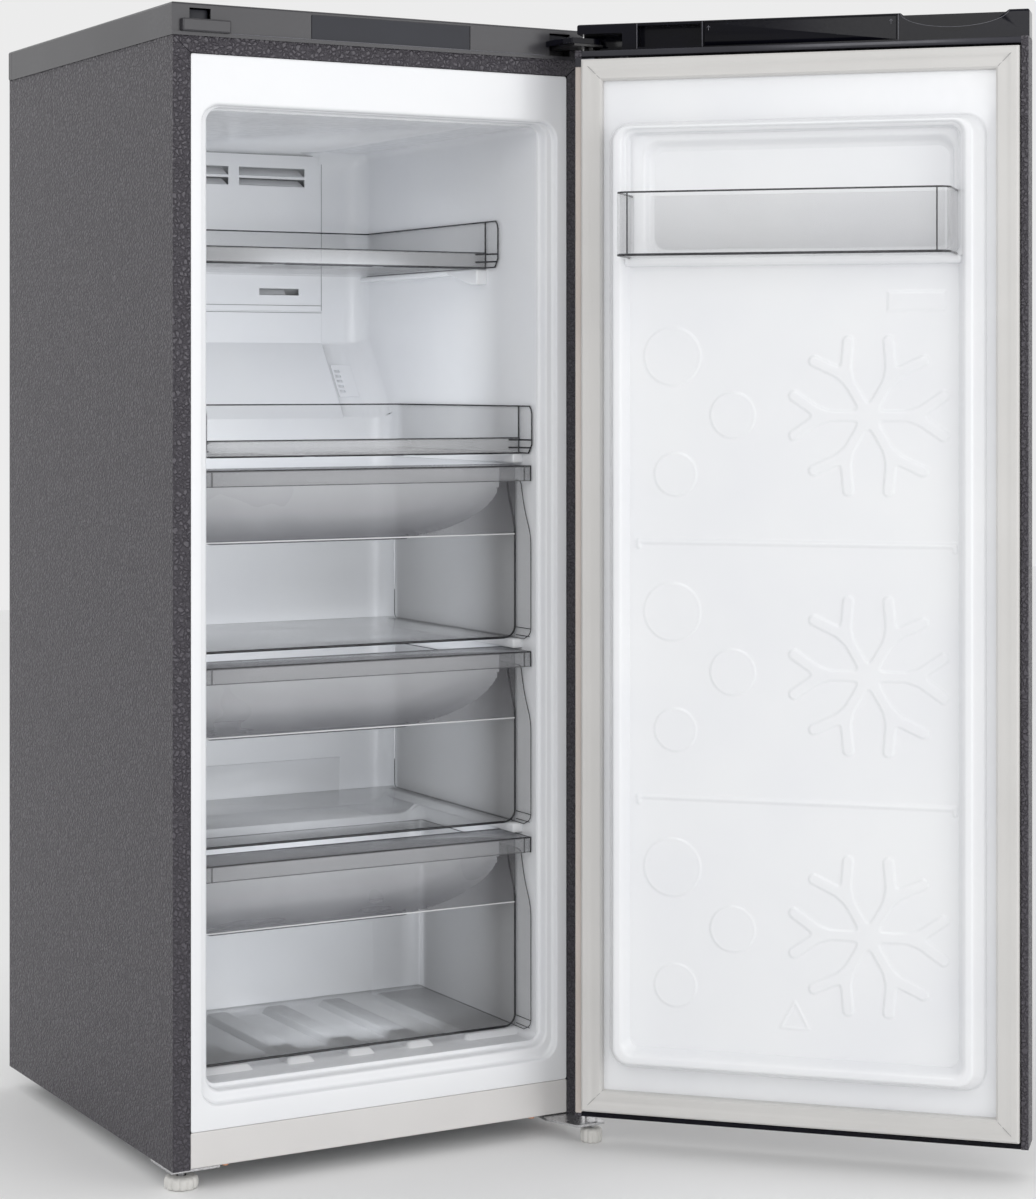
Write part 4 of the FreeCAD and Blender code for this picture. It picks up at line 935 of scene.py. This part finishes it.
def drawer(number):
    """A clear tub with forward fins, its front sheet, and the grip bar."""
    body = f"drawer_{number}"
    low, high = extent(f"{body}_tub")
    floor = low[2]
    back = high[1]
    rim = high[2]
    bar = extent(f"{body}_front")[1][2]
    shoulder = rim - SCOOP_HIGH
    profile = curved([(52, floor, 0), (back, floor, 8), (back, rim, 5), (60, rim, 7),
                      (52, shoulder + 34, 22), (BAR_FRONT, shoulder, 14),
                      (BAR_FRONT, floor + 8, 8)])
    walls = [cut_sheet(profile, hand * (BIN_HALF - SHEET), hand * SHEET, 0.9, 2)
             for hand in (-1, 1)]
    bottom = block((-INSIDE, PLATE_FRONT, floor), (INSIDE, back, floor + SHEET), 0.9)
    rear = block((-INSIDE, back - SHEET, floor), (INSIDE, back, rim), 0.9)
    points, faces = joined(*walls, bottom, rear)
    piece(f"{body}_walls", points, faces, smoke_clear, body, [f"{body}_tub"])
    drawer_face(body, floor, shoulder, bar)
    points, faces = joined(
        block((-INSIDE, BAR_FRONT, rim), (INSIDE, BAR_FRONT + SHEET, bar - 0.2), 0.8),
        block((-INSIDE, BAR_FRONT + 1, bar - SHEET), (INSIDE, BAR_BACK, bar), 0.8))
    piece(f"{body}_bar", points, faces, smoke_bar, body, [f"{body}_front"])
    plate_edges(body, floor, shoulder, rim)
    bar_edges(body, rim, bar)
    wall_edges(body, floor, back, rim, profile)


def plate_edges(body, floor, shoulder, rim):
    """The dark edges round a drawer's front plate, and a painted highlight along the fold at its
    shoulder.
    """
    edge = BIN_HALF - SHEET - 0.6
    corner = 15
    foot = floor + 1
    turn = [(edge - corner + corner * math.sin(a), PLATE_FRONT, foot + corner - corner * math.cos(a))
            for a in np.linspace(0, math.pi / 2, 8)]
    rise = [(edge, PLATE_FRONT + 10 * (1 - math.cos(math.pi * w)), shoulder + (rim - shoulder) * w)
            for w in np.linspace(0, 1, 12)]
    edge_lines(f"{body}_plate_edges", mirrored([turn + rise]), body, 1.3, smoke_edge)
    line = [(-edge + corner, PLATE_FRONT, foot), (edge - corner, PLATE_FRONT, foot)]
    edge_lines(f"{body}_plate_foot", [line], body, 1.6, smoke_edge)
    face = PLATE_FRONT - 0.4
    # A pale rod along the shoulder: a painted highlight on the rounded fold.
    fold_highlight = [(-edge + 1, face, shoulder), (edge - 1, face, shoulder)]
    edge_lines(f"{body}_shoulder_highlight", [fold_highlight], body, 0.9, smoke_painted_highlight)


def bar_edges(body, rim, bar):
    """The dark cut edges of a drawer's grip bar and of its ends."""
    wall = BIN_HALF - 1.2
    front = BAR_FRONT + 1
    back = BAR_BACK - 2
    lines = [[(-wall, front - 0.2, bar - 0.8), (wall, front - 0.2, bar - 0.8)],
             [(-wall, back, bar - 0.9), (wall, back, bar - 0.9)]]
    ends = [[(wall, front, rim), (wall, front, bar - 1), (wall, back, bar - 1)],
            [(wall - 9, front, rim), (wall - 9, front, bar - 1)]]
    edge_lines(f"{body}_bar_edges", [*lines, *mirrored(ends)], body, 1.0, smoke_edge)


def wall_edges(body, floor, back, rim, profile):
    """The fine edges of a drawer's side walls, and painted highlights along the folds of its rear
    corners.
    """
    wall = BIN_HALF - 1.2
    front = BAR_FRONT + 1
    low = [(-wall, front, rim + 0.5), (wall, front, rim + 0.5)]
    outline = [(wall, y, z) for y, z in [*profile, profile[0]]]
    rear = [(0, back - 1.2, rim - 1), (wall, back - 1.2, rim - 1)]
    runners = [[(wall, PLATE_FRONT, floor + 14), (wall, front, floor + 14)],
               [(wall, PLATE_FRONT, floor + 4), (wall, front + 3, floor + 4)]]
    edge_lines(f"{body}_fine_edges", [low, *mirrored([outline, rear, *runners])], body, 0.55,
               smoke_edge)
    # Pale rods up the rear corners: painted highlights on the rounded folds.
    fold_highlight = [(wall - 1.5, back - 3, floor + 40), (wall - 1.5, back - 3, rim - 2)]
    edge_lines(f"{body}_corner_highlight", mirrored([fold_highlight]), body, 0.7, smoke_painted_highlight)


def tray_edges(node):
    """The dark rims, ear edges and slots of a tray, and its clear lip."""
    low, high = extent(node)
    front = low[1]
    back = high[1] - 1.2
    floor = low[2] + 1
    top = high[2] - 1
    lip = front + TRAY_LIP_BACK + 1.2
    half = high[0] - 1.2
    ear = [(half, back, floor), (half, front + 9, floor), (half, front + 1, floor + 11),
           (half, front + 1, top - 10), (half, front + 3, top - 4), (half, front + 7, top),
           (half, back, top), (0, back, top)]
    post = [(half - 1, lip, floor), (half - 1, lip, top)]
    ribs = [[(half - 16, lip - 1, level), (half, front + 3, level)]
            for level in (floor + TRAY_LIP - 2, floor + TRAY_LIP - 12)]
    edge_lines(f"{node}_rims", mirrored([ear]), node, 1.0, smoke_edge)
    edge_lines(f"{node}_posts", mirrored([post, *ribs]), node, 1.1, smoke_edge)
    rails = [[(-half, lip, level), (half, lip, level)] for level in (floor, floor + TRAY_LIP)]
    edge_lines(f"{node}_lip_edges", rails, node, 1.2, smoke_edge)
    points, faces = block((-half + 2, lip - 1.4, floor + 0.4),
                          (half - 2, lip - 0.4, floor + TRAY_LIP), 0.4)
    piece(f"{node}_lip", points, faces, smoke_lip, node)
    slots = [[(SLOT_PITCH * column + end, lip + 8, floor - 0.4) for end in (-SLOT_HALF, SLOT_HALF)]
             for column in (-1, 0, 1)]
    edge_lines(f"{node}_slot_edges", slots, node, 1.3, smoke_edge)


def rack_edges():
    """The dark rim and foot of the door's rack, given in the door's own frame."""
    low, high = extent("door_rack")
    foot = low[2] + 1
    rim = high[2] - 1.2
    near, far = 65, 465
    back, front = 37.3, 134.8
    bend = 14
    turn = np.linspace(0, math.pi / 2, 7)
    corner = [(near + bend - bend * math.cos(a), front - bend + bend * math.sin(a))
              for a in turn]
    outline = [(near, back), *corner, *((near + far - s, t) for s, t in reversed(corner)),
               (far, back)]
    upper = [on_door(s, t, rim) for s, t in outline]
    lower = [on_door(s, t, foot) for s, t in outline]
    posts = [[on_door(s, front, foot), on_door(s, front, rim)] for s in (near + bend, far - bend)]
    edge_lines("rack_rim", [upper], "door_rack", 1.1, smoke_edge)
    edge_lines("rack_foot", [lower], "door_rack", 1.6, smoke_edge)
    edge_lines("rack_posts", posts, "door_rack", 0.9, smoke_edge)


for number in (1, 2, 3):
    drawer(number)
tray_edges("upper_tray")
tray_edges("lower_tray")
rack_edges()


# -------------------------------- the front feet

KNOB_TURNS = 96
FLUTE_DEPTH = 0.09
FLUTED_SHARE = 0.75
STUD_TURNS = 24
STUD_RADIUS = 3.9
THREAD_PITCH = 1.5
THREAD_DEPTH = 0.45
THREAD_RINGS = 8


def threaded_foot(node, flutes, knob_high):
    """A moulded knob with finger flutes on a zinc stud."""
    low, high = extent(node)
    middle = (low + high) / 2
    radius = (high[0] - low[0]) / 2
    levels = [(0.0, 0.80), (0.6, 0.90), (2.0, 0.97), (4.0, 1.0), (knob_high - 5, 1.0),
              (knob_high - 2.5, 0.96), (knob_high - 0.8, 0.86), (knob_high, 0.70),
              (knob_high, 0.30)]
    knob = []
    for level, share in levels:
        for step in range(KNOB_TURNS):
            angle = 2 * math.pi * step / KNOB_TURNS
            flute = FLUTE_DEPTH * (0.5 + 0.5 * math.cos(flutes * angle)) ** 3
            reach = radius * share * (1 - flute * (share > FLUTED_SHARE))
            knob.append((middle[0] + reach * math.cos(angle),
                         middle[1] + reach * math.sin(angle), level))
    faces = [*ring_faces(len(levels), KNOB_TURNS), tuple(reversed(range(KNOB_TURNS)))]
    piece(f"{node}_knob", knob, faces, foot_white, node, [node], 50)
    stud = []
    stud_foot = knob_high - 1
    ring_step = THREAD_PITCH / THREAD_RINGS
    rings = int((high[2] - stud_foot) / ring_step)
    for ring in range(rings):
        for step in range(STUD_TURNS):
            angle = 2 * math.pi * step / STUD_TURNS
            wave = math.sin(2 * math.pi * (ring / THREAD_RINGS - step / STUD_TURNS))
            reach = STUD_RADIUS + THREAD_DEPTH * wave
            stud.append((middle[0] + reach * math.cos(angle),
                         middle[1] + reach * math.sin(angle), stud_foot + ring * ring_step))
    piece(f"{node}_stud", stud, ring_faces(rings, STUD_TURNS), zinc_plate, node,
          [node], 60)


threaded_foot("left_foot", 12, 15)
threaded_foot("right_foot", 10, 18)


# -------------------------------- small trim

# Blocks in the door's own frame: corners, edge radius, finish and slot.
DOOR_BLOCKS = {
    "door_edge_strip": ((-11.5, 28, 44), (-3.6, 35.5, 1357), 1.2, edge_beige,
                        "gasket_rubber"),
    "door_head_strip": ((-10, 21, 1361.5), (541, 32.4, 1369.4), 1.4, strip_silver,
                        "head_plastic"),
    "head_notch_wall": ((-12.8, -15.2, 1370.2), (45.5, -12.9, 1392.5), 0.6, head_black,
                        "head_plastic"),
    "door_corner_clip": ((-11.5, 33.4, 1349), (14, 37, 1360), 1.0, strip_silver,
                         "zinc_steel"),
}
HEAD_FACE = 20.6
HEAD_SEAMS = (64, 147, 390)
HEAD_ARROWS = (155, 381)
GRIP_MIDDLE = 457.5
GRIP_WIDE = 66
GRIP_DEEP = 20
MITRE = 16
MITRE_LEVEL = 43.8


def door_trim():
    """The strips outside the seal, the clip and the outer wall of the head's notch."""
    for name, (low, high, radius, material, slot) in DOOR_BLOCKS.items():
        points, faces = block(low, high, radius)
        piece(name, [on_door(*corner) for corner in points], faces, material, "door")


def head_lines():
    """The head's seams, the outline of its grip and two plain arrows, drawn as pale lines: painted
    highlights along their edges.
    """
    # Pale rods on the black head: painted highlights along the seams, the grip and the arrows.
    seams = [[on_door(s, HEAD_FACE, 1371), on_door(s, HEAD_FACE, 1403)] for s in HEAD_SEAMS]
    edge_lines("head_seam_highlights", seams, "door", 0.4, painted_highlight_line)
    sweep = [on_door(GRIP_MIDDLE + GRIP_WIDE * math.sin(a), HEAD_FACE,
                     1405 - GRIP_DEEP * math.cos(a))
             for a in np.linspace(-1.45, 1.45, 25)]
    edge_lines("head_grip_outline_highlight", [sweep], "door", 0.3, painted_highlight_line)
    arrows = []
    for s in HEAD_ARROWS:
        tip = on_door(s, HEAD_FACE, 1397)
        arrows.append([on_door(s, HEAD_FACE, 1391), tip])
        arrows.append([on_door(s - 2, HEAD_FACE, 1394.6), tip,
                       on_door(s + 2, HEAD_FACE, 1394.6)])
    edge_lines("head_arrows", arrows, "door", 0.35, painted_highlight_line)


def seal_mitres():
    """The fine joints across the seal's four corners."""
    near, far = SEAL_SIDES
    mitres = [[on_door(s, MITRE_LEVEL, z), on_door(s + ds, MITRE_LEVEL, z + dz)]
              for z, dz in ((SEAL_HIGH - 9, -MITRE), (SEAL_LOW + 9, MITRE))
              for s, ds in ((near + 9, MITRE), (far - 9, -MITRE))]
    edge_lines("seal_mitres", mitres, "door", 0.25, mid_grey)


DUCT_LOW, DUCT_HIGH = extent("duct_cover")
SLOTS_ACROSS = ((-137, -36), (-20, 20), (36, 137))
SLOTS_UP = ((1246, 1257.4), (1232, 1242))


def louvre(x0, x1, z0, z1):
    """A slanting blade behind a slot, as (points, faces)."""
    front = DUCT_HIGH[1] + 0.5
    back = DUCT_HIGH[1] + 11
    points = [(x0 + 1, front, z0 + 0.5), (x1 - 1, front, z0 + 0.5),
              (x1 - 5, back, z1 - 1), (x0 + 1, back, z1 - 1),
              (x0 + 1, front + 1.5, z0 - 1), (x1 - 1, front + 1.5, z0 - 1),
              (x1 - 5, back + 1.5, z1 - 2.5), (x0 + 1, back + 1.5, z1 - 2.5)]
    return points, [(0, 1, 2, 3), (7, 6, 5, 4), (0, 4, 5, 1), (3, 2, 6, 7)]


def duct_details():
    """Slanting louvres behind the duct cover's slots, and the cover's fold lines."""
    parts = [louvre(*across, *up) for across in SLOTS_ACROSS for up in SLOTS_UP]
    for x0, x1 in ((-128, -67), (67, 128)):
        points = [(x0, 533, 1079), (x1 - 18, 533, 1079), (x1 - 18, 540, 1087), (x0, 540, 1087)]
        parts.append((points, [(0, 1, 2, 3)]))
    points, faces = joined(*parts)
    piece("duct_louvres", points, faces, liner_white, "cabinet")
    face = DUCT_LOW[1] - 0.3
    half = DUCT_HIGH[0] - 1
    foot = DUCT_LOW[2] + 1
    top = DUCT_HIGH[2] - 1
    corner = 6
    outline = [(-half, face, foot), (-half, face, top - corner), (-half + corner, face, top),
               (half - corner, face, top), (half, face, top - corner), (half, face, foot)]
    folds = [[(-half, face, z), (half, face, z)] for z in (foot + 7, foot - 3)]
    edge_lines("duct_outline", [outline, *folds], "cabinet", 0.35, mid_grey)


def cover_slots():
    """The walls inside the two slots of the top cover, and a painted highlight along the ledge below
    it.
    """
    parts = [block((-258, 7, 1371), (-233, 9, 1397), 0.5),
             block((234, 7, 1389), (261, 9, 1397), 0.5)]
    points, faces = joined(*parts)
    piece("cover_slot_walls", points, faces, inlay_grey, "cabinet")
    # A pale rod on the ledge's top edge: a painted highlight.
    ledge = [(-206, -2.1, 1369.6), (224, -2.1, 1369.6)]
    edge_lines("cover_ledge_highlight", [ledge], "cabinet", 0.45, painted_highlight_line)


def flange_seams():
    """The dark joints of the steel flanges with the liner, their mitres and the cover's."""
    half = LINER_HIGH[0] + 0.4
    low = extent("kick_panel")[1][2]
    high = LINER_HIGH[2] + 0.4
    face = 0.15
    joint = [(-half, face, low), (-half, face, high), (half, face, high), (half, face, low)]
    mitres = mirrored([[(-half, face, high), (-279.4, face, 1364.6)]])
    edge_lines("flange_seams", [joint, *mitres], "cabinet", 0.4, head_black)
    cover_low, cover_high = extent("top_cover")
    back = cover_high[1] - 16
    seams = [[(x, back, cover_low[2] + 1), (x, back, cover_high[2] - 2)]
             for x in (cover_low[0] + 1.16, cover_high[0] - 1.16)]
    edge_lines("cover_end_seams", seams, "cabinet", 1.2, head_black)


door_trim()
head_lines()
seal_mitres()
duct_details()
cover_slots()
flange_seams()


# -------------------------------- the studio

WHITE = (1, 1, 1)
SURROUND = 0.84
FLOOR_REACH = 8.0

# Each light's place, what it faces, its width and height in metres, watts and colour.
LIGHTS = {
    "front": ((1.75, -3.75, 1.3), (0.0, 0.2, 0.75), 2.4, 2.4, 31, WHITE),
    "key": ((-2.6, -3.0, 2.4), (0.1, 0.2, 0.8), 1.2, 1.6, 20, WHITE),
    "side_sheen": ((-2.4, 3.2, 2.7), (-0.28, 0.25, 1.25), 1.2, 1.0, 9, WHITE),
    "room_fill": ((0.0, 0.125, 0.62), (0.0, 0.6, 0.62), 0.2, 0.96, 1.4, (0.93, 0.96, 1.0)),
}


def soft_light(name, place, aim, wide, high, watts, colour):
    """A rectangular light that the camera does not see."""
    data = bpy.data.lights.new(name, "AREA")
    data.shape = "RECTANGLE"
    data.size = wide
    data.size_y = high
    data.energy = watts
    data.color = colour
    light = bpy.data.objects.new(name, data)
    light.location = place
    light.rotation_euler = (Vector(aim) - Vector(place)).to_track_quat("-Z", "Y").to_euler()
    light.visible_camera = False
    bpy.context.scene.collection.objects.link(light)


def surround():
    """An even white light from all sides."""
    world = bpy.data.worlds.new("studio_surround")
    world.use_nodes = True
    background = world.node_tree.nodes["Background"]
    background.inputs["Color"].default_value = (*WHITE, 1)
    background.inputs["Strength"].default_value = SURROUND
    bpy.context.scene.world = world


def studio_floor():
    """A plain pale floor."""
    pale = moulded("studio_floor", (0.885, 0.885, 0.885), (0.895, 0.895, 0.895), (0.7, 0.8),
                   0.02, 40)
    reach = FLOOR_REACH
    mesh = bpy.data.meshes.new("studio_floor")
    mesh.from_pydata([(-reach, -reach, 0), (reach, -reach, 0), (reach, reach, 0),
                      (-reach, reach, 0)], [], [(0, 1, 2, 3)])
    mesh.materials.append(pale)
    floor = bpy.data.objects.new("studio_floor", mesh)
    bpy.context.scene.collection.objects.link(floor)


surround()
studio_floor()
for name, settings in LIGHTS.items():
    soft_light(name, *settings)
bpy.context.scene.view_settings.view_transform = "Standard"
